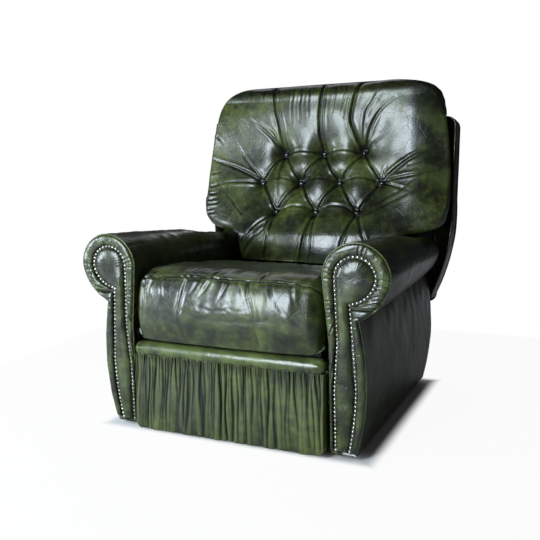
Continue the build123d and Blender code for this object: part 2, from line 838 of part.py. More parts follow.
with BuildPart() as footrest_pins:
    add_pins(bracket_guide_pivot, 4, False)
save(footrest_pins, "footrest_bracket_pins")

board_half_width = footrest_half_width - footrest_board_inset
screw_front = board_rear - footrest_board_thickness / 2
with BuildPart() as footrest_board:
    board_height = footrest_split - footrest_bottom - footrest_board_inset
    board_y = at_depth(footrest_board_front + footrest_board_thickness / 2)
    with Locations((0, board_y, footrest_split - board_height / 2)):
        Box(2 * board_half_width, footrest_board_thickness, board_height)
    cut_screw_holes(screw_front, board_rear)
save(footrest_board, "footrest_board")

with BuildPart() as bracket_screws:
    with BuildSketch(facing_plane(board_rear + flat_thickness)) as shanks:
        for side in sides.values():
            for screw_z in bracket_screw_places:
                with Locations((side * bracket_screw_x, screw_z)):
                    Circle(screw_radius)
    extrude(to_extrude=shanks.sketch, amount=board_rear + flat_thickness - screw_front)
save(bracket_screws, "footrest_bracket_screws")

roll_place = (0, at_depth(footrest_roll_depth), footrest_top - footrest_roll_radius)
with BuildPart() as footrest_roll:
    with BuildSketch(Plane(origin=roll_place, x_dir=(1, 0, 0), z_dir=(0, -1, 0))):
        RectangleRounded(2 * footrest_half_width, 2 * footrest_roll_radius, footrest_roll_end_round)
        with Locations((0, -footrest_roll_radius)):
            Rectangle(3 * footrest_half_width, 2 * footrest_roll_radius, mode=Mode.SUBTRACT)
    revolve(axis=Axis(roll_place, (1, 0, 0)))
    with Locations((0, roll_place[1], footrest_split - overrun / 2)):
        Box(3 * footrest_half_width, 3 * footrest_roll_radius, overrun, mode=Mode.SUBTRACT)
save(footrest_roll, "footrest_roll")

with BuildPart() as footrest_pad:
    fold_width = 2 * footrest_half_width / footrest_fold_count
    valley_depth = footrest_pad_front + footrest_fold_height
    with BuildSketch(Plane.XY.offset(footrest_bottom)):
        with BuildLine():
            for index in range(footrest_fold_count):
                fold_x = -footrest_half_width + index * fold_width
                ThreePointArc(
                    (fold_x, at_depth(valley_depth)),
                    (fold_x + fold_width / 2, at_depth(footrest_pad_front)),
                    (fold_x + fold_width, at_depth(valley_depth)),
                )
            Polyline(
                (footrest_half_width, at_depth(valley_depth)),
                (footrest_half_width, at_depth(footrest_board_front)),
                (-footrest_half_width, at_depth(footrest_board_front)),
                (-footrest_half_width, at_depth(valley_depth)),
            )
        make_face()
    pad_height = footrest_split - footrest_bottom
    extrude(amount=pad_height)
    with BuildSketch(facing_plane(footrest_board_front + overrun)) as rounding:
        with Locations((0, footrest_bottom + pad_height)):
            RectangleRounded(2 * footrest_half_width, 2 * pad_height, footrest_corner)
    extrude(to_extrude=rounding.sketch, amount=2 * overrun, mode=Mode.INTERSECT)
save(footrest_pad, "footrest_pad")

# Back: everything but the cushion is drawn in a leaning plane whose third direction points forwards
lean = radians(back_lean)
back_plane = Plane(
    origin=(0, at_depth(back_foot_depth), back_foot_z),
    x_dir=(1, 0, 0),
    z_dir=(0, -cos(lean), sin(lean)),
)
pivot_run = (back_pivot_depth - back_foot_depth, back_pivot_z - back_foot_z)
pivot_rise = pivot_run[0] * sin(lean) + pivot_run[1] * cos(lean)
pivot_forward = -pivot_run[0] * cos(lean) + pivot_run[1] * sin(lean)
post_bottom = -back_rail_height / 2


def back_place(rise, forward):
    """The (Y, Z) of a place in the leaning back."""
    return (
        at_depth(back_foot_depth) + rise * sin(lean) - forward * cos(lean),
        back_foot_z + rise * cos(lean) + forward * sin(lean),
    )


def draw_shell_side(side):
    """Draw one side of the back's outline, from its low corner out and up to its shoulder."""
    low_rise = shell_bottom + shell_low_rise
    low = (side * shell_low_half_width, low_rise)
    bend_x = shell_low_half_width + (shell_half_width - shell_low_half_width) * diagonal_share
    bend_rise = low_rise + (shell_wide_rise - low_rise) * shell_bend_share
    wide = (side * shell_half_width, shell_wide_rise)
    shoulder = (side * shell_half_width, shell_top - shell_corner)
    ThreePointArc(low, (side * bend_x, bend_rise), wide)
    Line(wide, shoulder)


def shell_outline(forward, inset):
    """The outline of the back: straight sides that draw in towards the foot, and round top corners."""
    with BuildSketch(back_plane.offset(forward)) as outline:
        with BuildLine():
            for side in sides.values():
                foot = (side * shell_foot_half_width, shell_bottom)
                low = (side * shell_low_half_width, shell_bottom + shell_low_rise)
                low_bend = (shell_low_half_width - shell_foot_half_width) * diagonal_share
                low_corner = (
                    side * (shell_foot_half_width + low_bend),
                    shell_bottom + shell_low_rise * (1 - diagonal_share),
                )
                shoulder = (side * shell_half_width, shell_top - shell_corner)
                top = (side * (shell_half_width - shell_corner), shell_top)
                ThreePointArc(foot, low_corner, low)
                draw_shell_side(side)
                corner_centre = (side * (shell_half_width - shell_corner), shell_top - shell_corner)
                corner_middle = (
                    corner_centre[0] + side * shell_corner * diagonal_share,
                    corner_centre[1] + shell_corner * diagonal_share,
                )
                ThreePointArc(shoulder, corner_middle, top)
            Line((-shell_foot_half_width, shell_bottom), (shell_foot_half_width, shell_bottom))
            top_half_width = shell_half_width - shell_corner
            Line((-top_half_width, shell_top), (top_half_width, shell_top))
        make_face()
        if inset > 0:
            offset(amount=-inset)
    return outline.sketch


def add_back_box(low, high, near_forward, far_forward):
    """Add a box in the leaning back, between two corners and two distances forward."""
    with BuildSketch(back_plane.offset(near_forward)) as face:
        with Locations(((low[0] + high[0]) / 2, (low[1] + high[1]) / 2)):
            Rectangle(high[0] - low[0], high[1] - low[1])
    extrude(to_extrude=face.sketch, amount=far_forward - near_forward)


post_top = top_rail_rise + back_rail_height
post_inner_x = post_half_span - post_width
with BuildPart() as back_posts:
    add_back_box((post_inner_x, post_bottom), (post_half_span, post_top), -back_box_depth, 0)
    add_back_box((-post_half_span, post_bottom), (-post_inner_x, post_top), -back_box_depth, 0)
save(back_posts, "back_posts")

with BuildPart() as back_rails:
    for rail_rise in (post_bottom, mid_rail_rise, top_rail_rise):
        rail_low = (-post_inner_x, rail_rise)
        rail_high = (post_inner_x, rail_rise + back_rail_height)
        add_back_box(rail_low, rail_high, -back_box_depth, 0)
save(back_rails, "back_rails")

with BuildPart() as outer_back:
    extrude(to_extrude=shell_outline(-back_box_depth, 0), amount=-outer_back_thickness)
    rear_face = outer_back.faces().sort_by(Axis(back_plane.origin, back_plane.z_dir))[0]
    fillet(rear_face.edges(), radius=outer_back_round)
save(outer_back, "outer_back")

with BuildPart() as side_band:
    extrude(to_extrude=shell_outline(-back_box_depth, 0), amount=back_box_depth)
    extrude(to_extrude=shell_outline(-back_box_depth, band_thickness), amount=back_box_depth, mode=Mode.SUBTRACT)
    with BuildSketch(back_plane) as foot_cut:
        with Locations((0, band_bottom - overrun)):
            Rectangle(3 * shell_half_width, 2 * overrun)
    extrude(to_extrude=foot_cut.sketch, amount=2 * back_box_depth, both=True, mode=Mode.SUBTRACT)
save(side_band, "back_side_band")

back_nail = dome(back_nail_radius, back_nail_height)
with BuildPart() as back_nails:
    for side in sides.values():
        with BuildLine(back_plane.offset(-back_nail_setback)) as nail_line:
            draw_shell_side(side)
        nail_edge = nail_line.wire()
        for share in shares_along(nail_edge, back_nail_pitch):
            place = nail_edge.position_at(share)
            outward = nail_edge.tangent_at(share).cross(back_plane.z_dir) * side
            if back_plane.to_local_coords(place).Y > back_nail_foot:
                with Locations(Plane(origin=place, z_dir=outward)):
                    add(back_nail)
save(back_nails, "back_nails")


def draw_back_bracket():
    """Draw the bracket plate from the back's pivot up to the lower rail."""
    corners = [
        back_place(pivot_rise, pivot_forward - ear_radius),
        back_place(pivot_rise, pivot_forward + ear_radius),
        back_place(post_bottom, pivot_forward + ear_radius),
        back_place(post_bottom, pivot_forward - ear_radius),
    ]
    Polygon(*corners, align=None)
    with Locations((at_depth(back_pivot_depth), back_pivot_z)):
        Circle(ear_radius)
        Circle(free_bore, mode=Mode.SUBTRACT)


with BuildPart() as back_brackets:
    add_flats(1, draw_back_bracket)
    bracket_x = arm_inner_x - layer_pitch
    for side in sides.values():
        flange_low = min(side * bracket_x, side * (bracket_x - bracket_plate_length))
        flange_high = max(side * bracket_x, side * (bracket_x - bracket_plate_length))
        add_back_box(
            (flange_low, post_bottom - flat_thickness),
            (flange_high, post_bottom),
            pivot_forward - ear_radius,
            pivot_forward + ear_radius,
        )
save(back_brackets, "back_brackets")

back_spring_plane = back_plane.offset(wire_radius)
back_spring_length = top_rail_rise - post_bottom
back_spring_span = 2 * (post_inner_x - back_spring_half_width) / back_spring_count
with BuildPart() as back_springs:
    for index in range(back_spring_count):
        spring_x = (index - (back_spring_count - 1) / 2) * back_spring_span
        start = (spring_x, 0)
        add_spring(
            meander(back_spring_plane, start, back_spring_length, back_spring_half_width, back_spring_pitch)
        )
save(back_springs, "back_springs")

# Back cushion: level sections of its crown, then the sewn tufts and the pleats between them.
# Each row gives shares of the cushion's height, half width and front depth: height, half width,
# front at the middle, front at the sides, rear.
back_row_shares = (
    (0.0, 0.646, 0.803, 0.841, 1.03),
    (0.088, 0.667, 0.797, 0.835, 1.03),
    (0.176, 0.679, 0.811, 0.856, 1.03),
    (0.225, 0.949, 0.838, 0.901, 1.034),
    (0.363, 1.0, 0.903, 0.939, 1.046),
    (0.542, 0.983, 0.965, 0.985, 1.063),
    (0.722, 0.956, 0.995, 1.009, 1.082),
    (0.853, 0.949, 0.997, 1.022, 1.115),
    (0.951, 0.92, 1.011, 1.041, 1.125),
    (1.0, 0.728, 1.048, 1.066, 1.111),
)
# Tufts: half the width share, and the height and the depth of each row of buttons
tuft_rows = (
    ((-0.327, 0.0, 0.327), 0.6245, 1.033),
    ((-0.492, -0.160, 0.160, 0.492), 0.4525, 0.975),
    ((-0.331, 0.0, 0.331), 0.2859, 0.909),
)
pleat_top_shares = (0.949, 1.030)
pleat_foot_shares = (0.04, 0.835)


def back_section(row):
    """One level section of the back cushion."""
    height_share, width_share, front_share, side_share, rear_share = row
    half_width = back_cushion_half_width * width_share
    front = at_depth(back_cushion_front * front_share)
    corner = at_depth(back_cushion_front * side_share)
    rear = at_depth(back_cushion_front * rear_share)
    front_half = half_width - (rear - corner) * back_side_round_share
    level = back_cushion_bottom + back_cushion_height * height_share
    with BuildSketch(Plane.XY.offset(level)) as section:
        with BuildLine():
            ThreePointArc((-front_half, corner), (0, front), (front_half, corner))
            ThreePointArc((front_half, corner), (half_width, (corner + rear) / 2), (front_half, rear))
            Line((front_half, rear), (-front_half, rear))
            ThreePointArc((-front_half, rear), (-half_width, (corner + rear) / 2), (-front_half, corner))
        make_face()
    return section.sketch


def tuft_place(width_share, height_share, depth_share):
    """A place on the back cushion, from its shares."""
    return Vector(
        back_cushion_half_width * width_share,
        at_depth(back_cushion_front * depth_share),
        back_cushion_bottom + back_cushion_height * height_share,
    )


tuft_out = Vector(0, -cos(radians(tuft_lean)), sin(radians(tuft_lean)))
tufts = [
    [tuft_place(width_share, height_share, depth_share) for width_share in width_shares]
    for width_shares, height_share, depth_share in tuft_rows
]


def cut_crease(start, end):
    """Cut one sewn pleat as a narrow wedge along the line between two places."""
    direction = (end - start).normalized()
    outward = (tuft_out - direction * tuft_out.dot(direction)).normalized()
    with BuildSketch(Plane(origin=start, x_dir=outward.cross(direction), z_dir=direction)) as wedge:
        Polygon(
            (0, crease_rise),
            (crease_half_width, crease_reach),
            (-crease_half_width, crease_reach),
            align=None,
        )
    extrude(to_extrude=wedge.sketch, amount=(end - start).length, mode=Mode.SUBTRACT)


with BuildPart() as back_cushion:
    loft(sections=[back_section(row) for row in back_row_shares])
    with BuildSketch(back_plane.offset(2 * wire_radius + soft_gap)) as frame_space:
        space_height = shell_top + soft_gap + back_cushion_height
        with Locations((0, shell_top + soft_gap - space_height / 2)):
            Rectangle(3 * shell_half_width, space_height)
    extrude(to_extrude=frame_space.sketch, amount=-overall_depth / 2, mode=Mode.SUBTRACT)
    for tuft in tufts[0] + tufts[1] + tufts[2]:
        with Locations(tuft + tuft_out * tuft_radius):
            Sphere(tuft_radius, mode=Mode.SUBTRACT)
    for upper in tufts[0] + tufts[2]:
        for middle in tufts[1]:
            if abs(upper.X - middle.X) < back_cushion_half_width * tuft_rows[0][0][2]:
                cut_crease(upper, middle)
    for tuft in tufts[0]:
        cut_crease(tuft, tuft_place(tuft.X / back_cushion_half_width, *pleat_top_shares))
    for tuft in tufts[2]:
        cut_crease(tuft, tuft_place(tuft.X / back_cushion_half_width, *pleat_foot_shares))
save(back_cushion, "back_cushion")

button_rim = tuft_radius - (tuft_radius * tuft_radius - button_radius * button_radius) ** 0.5
button = dome(button_radius, button_height)
with BuildPart() as buttons:
    for tuft in tufts[0] + tufts[1] + tufts[2]:
        with Locations(Plane(origin=tuft + tuft_out * button_rim, z_dir=tuft_out)):
            add(button)
save(buttons, "back_buttons")
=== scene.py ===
"""Looks of a scroll-arm recliner in buttoned green leather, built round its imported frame."""
import math

import bmesh
import bpy
import numpy as np
from mathutils import Matrix, Vector


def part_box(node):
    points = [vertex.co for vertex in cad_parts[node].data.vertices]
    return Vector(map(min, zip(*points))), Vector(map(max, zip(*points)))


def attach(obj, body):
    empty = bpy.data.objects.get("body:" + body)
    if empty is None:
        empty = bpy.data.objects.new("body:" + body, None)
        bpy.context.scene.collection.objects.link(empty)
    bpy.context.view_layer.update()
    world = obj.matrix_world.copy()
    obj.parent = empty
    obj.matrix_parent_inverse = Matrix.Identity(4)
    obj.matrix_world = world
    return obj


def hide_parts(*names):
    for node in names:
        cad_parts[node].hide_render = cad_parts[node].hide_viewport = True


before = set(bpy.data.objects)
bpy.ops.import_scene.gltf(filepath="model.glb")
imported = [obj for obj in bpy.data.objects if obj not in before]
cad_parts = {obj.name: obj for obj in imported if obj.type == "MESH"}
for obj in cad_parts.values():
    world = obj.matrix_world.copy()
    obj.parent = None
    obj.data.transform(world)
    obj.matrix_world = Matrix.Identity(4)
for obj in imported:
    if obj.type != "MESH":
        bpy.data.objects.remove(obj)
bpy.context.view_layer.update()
scene = bpy.context.scene
scene.view_settings.view_transform = "Standard"


# Camera: the photograph's view, from a little above the arms and 25 degrees to the right of the
# chair's front. Its place, turn and lens were solved from the arm facings, the seat and the nails.
camera_place = Vector((1.003, -2.266, 0.865))
camera_azimuth, camera_dip, camera_roll = (math.radians(angle) for angle in (25.32, 9.86, -1.57))
camera_lens = 49.7

camera_back = Vector((
    math.sin(camera_azimuth) * math.cos(camera_dip),
    -math.cos(camera_azimuth) * math.cos(camera_dip),
    math.sin(camera_dip),
))
camera_turn = camera_back.to_track_quat("Z", "Y").to_matrix() @ Matrix.Rotation(camera_roll, 3, "Z")
camera_data = bpy.data.cameras.new("camera")
camera_data.lens = camera_lens
camera = bpy.data.objects.new("camera", camera_data)
camera.matrix_world = Matrix.Translation(camera_place) @ camera_turn.to_4x4()
scene.collection.objects.link(camera)
scene.camera = camera


# Floor and air: a plain white studio sweep. The floor and the air look white to the camera, the
# floor keeps the chair's soft shadow, and the leather mirrors a dimmer room.
floor_half = 9.0
floor_white = "#D4D4D4"
# Reach from the chair's middle, in its half widths, where the floor shows its own white.
under_chair_reach, under_chair_share = (0.95, 1.06), (0.0, 0.95)
far_off_reach, far_off_share = (1.5, 3.0), (0.0, 1.0)
chair_centre = (0.0, -0.08, 0.0)
chair_footprint = (0.43, 0.385, 1.0)
room_grey = "#BFC4CA"
room_strength = 0.09
room_mirror_strength = 0.05
plain_white = (1, 1, 1, 1)


def linear(code):
    """A colour written as an sRGB hex code, as linear red, green, blue and alpha."""
    shares = [int(code[place : place + 2], 16) / 255 for place in (1, 3, 5)]
    return [((share + 0.055) / 1.055) ** 2.4 if share > 0.04045 else share / 12.92 for share in shares] + [1.0]


def add_node(tree, kind, settings=None, **inputs):
    """Add a node, with its properties, and its inputs set or linked by name or by _number."""
    node = tree.nodes.new(kind if "Node" in kind else "ShaderNode" + kind)
    for name, value in (settings or {}).items():
        setattr(node, name, value)
    for name, value in inputs.items():
        key = int(name[1:]) if name.startswith("_") else name.replace("_", " ")
        if isinstance(value, bpy.types.Node):
            value = value.outputs[0]
        if isinstance(value, bpy.types.NodeSocket):
            tree.links.new(value, node.inputs[key])
        else:
            node.inputs[key].default_value = value
    return node


def new_material(name):
    """An empty node material, and its node tree."""
    material = bpy.data.materials.new(name)
    material.use_nodes = True
    material.node_tree.nodes.clear()
    return material, material.node_tree


world = bpy.data.worlds.new("studio_air")
world.use_nodes = True
tree = world.node_tree
tree.nodes.clear()
scene.world = world
rays = add_node(tree, "LightPath").outputs
air = add_node(tree, "Background", Color=linear(room_grey), Strength=room_strength)
for ray, colour, strength in (
    ("Is Glossy Ray", linear(room_grey), room_mirror_strength),
    ("Is Camera Ray", plain_white, 1.0),
):
    other = add_node(tree, "Background", Color=colour, Strength=strength)
    air = add_node(tree, "MixShader", _0=rays[ray], _1=air, _2=other)
add_node(tree, "OutputWorld", Surface=air)

floor_material, tree = new_material("white_studio_floor")
matte = add_node(tree, "BsdfDiffuse", Color=linear(floor_white))
glow = add_node(tree, "Emission", Color=plain_white, Strength=1.0)
ground = add_node(tree, "TexCoord").outputs["Object"]
centred = add_node(tree, "VectorMath", {"operation": "SUBTRACT"}, _0=ground, _1=chair_centre)
scaled = add_node(tree, "VectorMath", {"operation": "DIVIDE"}, _0=centred, _1=chair_footprint)
folded = add_node(tree, "VectorMath", {"operation": "ABSOLUTE"}, _0=scaled)
parts = add_node(tree, "SeparateXYZ", _0=folded).outputs
from_chair = add_node(tree, "Math", {"operation": "MAXIMUM"}, _0=parts["X"], _1=parts["Y"])
under_chair, far_off = (
    add_node(
        tree, "MapRange", {"interpolation_type": "SMOOTHSTEP"},
        Value=from_chair, From_Min=reach[0], From_Max=reach[1], To_Min=share[0], To_Max=share[1],
    )
    for reach, share in ((under_chair_reach, under_chair_share), (far_off_reach, far_off_share))
)
own = add_node(tree, "Math", {"operation": "MAXIMUM"}, _0=under_chair, _1=far_off)
seen = add_node(tree, "LightPath").outputs["Is Camera Ray"]
own_seen = add_node(tree, "Math", {"operation": "MULTIPLY"}, _0=seen, _1=own)
add_node(tree, "OutputMaterial", Surface=add_node(tree, "MixShader", _0=own_seen, _1=matte, _2=glow))

floor_mesh = bpy.data.meshes.new("floor")
floor_corners = [(x * floor_half, y * floor_half, 0) for x, y in ((-1, -1), (1, -1), (1, 1), (-1, 1))]
floor_mesh.from_pydata(floor_corners, [], [(0, 1, 2, 3)])
floor_mesh.materials.append(floor_material)
floor = bpy.data.objects.new("floor", floor_mesh)
scene.collection.objects.link(floor)


# Lamps: a tall cool window at the left front, a low one further to the left, a very weak fill
# from the right, one behind for the outer back, and a soft one above for the crest of the back.
# Each has its place, its target, its size, its watts and its colour.
lamps = {
    "window_lamp": ((-0.79, -2.85, 1.33), (0.0, -0.1, 0.60), (0.85, 1.8), 140.0, "#DDEAF2"),
    "side_lamp": ((-2.4, -1.75, 0.85), (-0.2, -0.2, 0.50), (0.7, 0.9), 58.0, "#DDEAF2"),
    "fill_lamp": ((2.6, -2.6, 1.7), (0.1, 0.0, 0.5), (1.4, 1.4), 1.5, "#FFF6EC"),
    "rear_lamp": ((-0.7, 3.0, 1.1), (0.0, 0.3, 0.55), (1.6, 1.2), 26.0, "#F4F8FF"),
    "crest_lamp": ((-0.9, 1.5, 2.7), (0.0, 0.2, 0.8), (1.8, 1.0), 9.0, "#F4F8FF"),
}

for name, (place, target, size, power, colour) in lamps.items():
    lamp_data = bpy.data.lights.new(name, "AREA")
    lamp_data.shape = "RECTANGLE"
    lamp_data.size, lamp_data.size_y = size
    lamp_data.energy = power
    lamp_data.color = linear(colour)[:3]
    lamp = bpy.data.objects.new(name, lamp_data)
    toward = Vector(target) - Vector(place)
    lamp.matrix_world = Matrix.Translation(place) @ toward.to_track_quat("-Z", "Y").to_matrix().to_4x4()
    scene.collection.objects.link(lamp)


# Leather: antique green pull-up hide, waxed and hand-rubbed. It is mottled from dark green to
# olive, with a fine grain and a soft wax gloss. Its folds are tinted brown-black and its ridges
# paler: partly the hide's own patina and wear, partly painted shade in the valleys and painted
# highlight on the ridges. Each piece keeps a value on its points for this tint, from -1 in a
# valley to 1 on a ridge. The clouds are about 200 mm across, the flecks 24 mm, the growth veins
# 60 mm and the wrinkles 10 mm. The grain is about 1 mm on the real hide and drawn at 4 mm, so
# that it shows.
hide_stops = ((0.36, "#0E100A"), (0.44, "#171C0D"), (0.52, "#292F13"), (0.60, "#41491E"), (0.72, "#5B612C"))
cloud_share, fleck_share = 0.55, 0.45
valley_patina_and_shade_brown, ridge_wear_and_highlight_green = "#060704", "#5E6C3A"
ridge_wear_and_highlight_share = 0.55


def set_stops(ramp, stops):
    """Set the places and colours of a colour ramp."""
    while len(ramp.elements) < len(stops):
        ramp.elements.new(0.5)
    for element, (position, colour) in zip(ramp.elements, stops):
        element.position = position
        element.color = linear(colour)


leather, tree = new_material("antique_green_pull_up_leather")
place = add_node(tree, "TexCoord").outputs["Object"]
cloud = add_node(tree, "TexNoise", Vector=place, Scale=5.0, Detail=5.0, Roughness=0.62, Distortion=0.6)
fleck = add_node(tree, "TexNoise", Vector=place, Scale=42.0, Detail=5.0, Roughness=0.72)
cloud_part = add_node(tree, "Math", {"operation": "MULTIPLY"}, _0=cloud, _1=cloud_share)
mottle = add_node(tree, "Math", {"operation": "MULTIPLY_ADD"}, _0=fleck, _1=fleck_share, _2=cloud_part)
hide = add_node(tree, "ValToRGB", Fac=mottle)
set_stops(hide.color_ramp, hide_stops)
fold = add_node(tree, "Attribute", {"attribute_name": "fold"}).outputs["Fac"]
tinted = hide.outputs["Color"]
# Patina and painted shade darken the valleys; wear and a painted highlight lighten the ridges.
for share, colour in ((-1.0, valley_patina_and_shade_brown), (ridge_wear_and_highlight_share, ridge_wear_and_highlight_green)):
    amount = add_node(tree, "Math", {"operation": "MULTIPLY", "use_clamp": True}, _0=fold, _1=share)
    tinted = add_node(tree, "Mix", {"data_type": "RGBA"}, _0=amount, _6=tinted, _7=linear(colour)).outputs[2]
gloss = add_node(tree, "MapRange", Value=mottle, From_Min=0.35, From_Max=0.68, To_Min=0.27, To_Max=0.40)
grain = add_node(tree, "TexVoronoi", {"feature": "SMOOTH_F1"}, Vector=place, Scale=260.0, Smoothness=0.6)
wrinkle = add_node(tree, "TexNoise", Vector=place, Scale=95.0, Detail=4.0, Roughness=0.6, Distortion=0.4)
grained = add_node(tree, "Math", {"operation": "MULTIPLY_ADD"}, _0=grain, _1=0.35, _2=wrinkle)
bent = add_node(tree, "TexNoise", Vector=place, Scale=9.0, Detail=3.0)
bend = add_node(tree, "VectorMath", {"operation": "SCALE"}, _0=bent.outputs["Color"], Scale=0.09)
bent_place = add_node(tree, "VectorMath", {"operation": "ADD"}, _0=place, _1=bend)
veins = add_node(tree, "TexVoronoi", {"feature": "DISTANCE_TO_EDGE"}, Vector=bent_place, Scale=17.0)
vein = add_node(tree, "MapRange", Value=veins, From_Min=0.0, From_Max=0.035, To_Min=0.0, To_Max=0.7)
relief = add_node(tree, "Math", {"operation": "ADD"}, _0=grained, _1=vein)
bump = add_node(tree, "Bump", Height=relief, Strength=0.25, Distance=0.0012)
surface = add_node(
    tree, "BsdfPrincipled", Base_Color=tinted, Roughness=gloss, Normal=bump,
    Specular_IOR_Level=0.5, Coat_Weight=0.20, Coat_Roughness=0.16,
)
add_node(tree, "OutputMaterial", Surface=surface)


# Arms: padded leather over the timber frame, with a roll that shrinks and drops towards the rear.
# Each is a skin over upright cross-sections, and it also wraps the facing board at its front.
facing_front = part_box("left_facing_board")[0][1]
sides = {"left": -1.0, "right": 1.0}
arm_length = 752.0
board_depth = 18.0
arm_foot_z = 15.0
arm_inner_x = 316.0
frame_outer_x = 344.5
frame_top_z = 315.5
knee_z = 320.0
scroll_centre = (393.0, 506.0)
scroll_radius = 95.0
neck = (400.0, 395.0)
belly = (420.0, 190.0)
outer_foot = (390.0, 15.0)
roll_shares = (0.0, 0.52, 0.80, 1.0)
roll_radius_shares = (1.0, 0.82, 0.66, 0.54)
roll_drop_shares = (0.0, 0.18, 0.37, 0.40)
end_round = 16.0
front_round = 4.0
arm_gathers = 13
full_turn = 2 * math.pi
quarter_turn = math.pi / 2


def curve(knots, values, at):
    """Smooth values between knots, which never swing past them."""
    knots, values, at = (np.asarray(numbers, float) for numbers in (knots, values, at))
    step = np.diff(knots)
    rise = np.diff(values) / step
    slope = np.zeros(len(values))
    slope[0], slope[-1] = rise[0], rise[-1]
    for index in range(1, len(values) - 1):
        if rise[index - 1] * rise[index] > 0:
            slope[index] = 2 / (1 / rise[index - 1] + 1 / rise[index])
    index = np.clip(np.searchsorted(knots, at) - 1, 0, len(step) - 1)
    share = np.clip((at - knots[index]) / step[index], 0, 1)
    square = share * share
    cube = square * share
    return (
        (2 * cube - 3 * square + 1) * values[index]
        + (cube - 2 * square + share) * step[index] * slope[index]
        + (3 * square - 2 * cube) * values[index + 1]
        + (cube - square) * step[index] * slope[index + 1]
    )


def arc(start, middle, end, count):
    """Points along the arc through three places, without its last one."""
    start, middle, end = (complex(*place) for place in (start, middle, end))
    skew = (end - start) / (middle - start)
    centre = start + (middle - start) * (skew - abs(skew) ** 2) / (2j * skew.imag)
    through, sweep = (np.angle((place - centre) / (start - centre)) % full_turn for place in (middle, end))
    if through > sweep:
        sweep -= full_turn
    points = centre + (start - centre) * np.exp(1j * sweep * np.arange(count) / count)
    return np.column_stack([points.real, points.imag])


def run(start, end, count):
    """Points along a straight line, without its last one."""
    return np.asarray(start) + np.outer(np.arange(count) / count, np.subtract(end, start))


def round_scroll(centre, radius, end, counts):
    """Arcs from a scroll's inner side over its top to its outer side, and on under it to an end."""
    x, z = centre
    slant = radius * math.sqrt(0.5)
    top, outer = (x, z + radius), (x + radius, z)
    return [
        arc((x - radius, z), (x - slant, z + slant), top, counts[0]),
        arc(top, (x + slant, z + slant), outer, counts[1]),
        arc(outer, (x + slant, z - slant), end, counts[2]),
    ]


def grown(line, amount, closed=False):
    """An outline moved outwards to its left by an amount."""
    tangent = np.roll(line, -1, 0) - np.roll(line, 1, 0) if closed else np.gradient(line, axis=0)
    tangent /= np.linalg.norm(tangent, axis=1)[:, None] + 1e-9
    return line + np.column_stack([-tangent[:, 1], tangent[:, 0]]) * amount


def places(*columns):
    """One row for each place, from columns or single values."""
    return np.column_stack(np.broadcast_arrays(*columns))


def smooth_step(low, high, value):
    """A share that rises smoothly from 0 at low to 1 at high."""
    share = np.clip((value - low) / (high - low), 0, 1)
    return share * share * (3 - 2 * share)


def bell(value, middle, width):
    """A share that is 1 at the middle and fades over a width to both sides."""
    return np.exp(-(((value - middle) / width) ** 2))


def ripples(place, wavelength, seed, count=9):
    """Soft seeded waves of about one wavelength, mostly between -1 and 1."""
    source = np.random.default_rng(seed)
    total = np.zeros(len(place))
    for _ in range(count):
        direction = source.normal(size=3)
        direction /= np.linalg.norm(direction)
        length = wavelength * source.uniform(0.7, 1.5)
        bend = source.normal(size=3) / (2.5 * wavelength)
        phase = place @ direction * full_turn / length + source.uniform(0, full_turn)
        total += np.sin(phase + 1.3 * np.sin(place @ bend * full_turn))
    return total / math.sqrt(count / 2) / 1.3


def link(name, mesh):
    """A new object in the scene, with a smooth mesh."""
    mesh.shade_smooth()
    piece = bpy.data.objects.new(name, mesh)
    scene.collection.objects.link(piece)
    return piece


def skin(name, rings):
    """A closed, smooth mesh over rings of (across, depth, height) points in millimetres."""
    rings = np.asarray(rings, float)
    index = np.arange(rings.shape[0] * rings.shape[1]).reshape(rings.shape[:2])
    near, far = index[:-1], index[1:]
    quads = np.stack([near, np.roll(near, -1, 1), np.roll(far, -1, 1), far], -1).reshape(-1, 4)
    caps = [index[0, ::-1].tolist(), index[-1].tolist()]
    mesh = bpy.data.meshes.new(name)
    mesh.from_pydata((rings.reshape(-1, 3) / 1000 + (0, facing_front, 0)).tolist(), [], quads.tolist() + caps)
    shape = bmesh.new()
    shape.from_mesh(mesh)
    bmesh.ops.recalc_face_normals(shape, faces=shape.faces)
    shape.to_mesh(mesh)
    shape.free()
    return link(name, mesh)


def read(mesh, name):
    """The "co" or "normal" of a mesh's points, one row each."""
    values = np.empty(len(mesh.vertices) * 3)
    mesh.vertices.foreach_get(name, values)
    return values.reshape(-1, 3)


def keep_folds(piece, folds):
    """Keep each point's leather tint, from -1 to 1: patina and painted shade in valleys, wear and painted highlight on
    ridges.
    """
    mesh = piece.data
    values = np.broadcast_to(folds, len(mesh.vertices)).astype(float)
    mesh.attributes.new("fold", "FLOAT", "POINT").data.foreach_set("value", values)


def push(piece, field):
    """Move a piece's points along their normals by a field in millimetres, and keep its tint of wear, painted shade
    and painted highlight.
    """
    mesh = piece.data
    points, normals = read(mesh, "co"), read(mesh, "normal")
    height, folds = field((points - (0, facing_front, 0)) * 1000, normals)
    mesh.vertices.foreach_set("co", (points + normals * np.reshape(height, (-1, 1)) / 1000).ravel())
    keep_folds(piece, np.clip(folds, -1, 1))
    mesh.update()


def dress(piece, body, nodes=()):
    """Give a piece its leather and its body, and hide the frame nodes that it stands for."""
    piece.data.materials.append(leather)
    if nodes:
        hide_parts(*nodes)
    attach(piece, body)


def upholster(name, rings, field, body, nodes=()):
    """Make a leather piece from its rings and the field that shapes its surface."""
    piece = skin(name, rings)
    push(piece, field)
    dress(piece, body, nodes)
    return piece


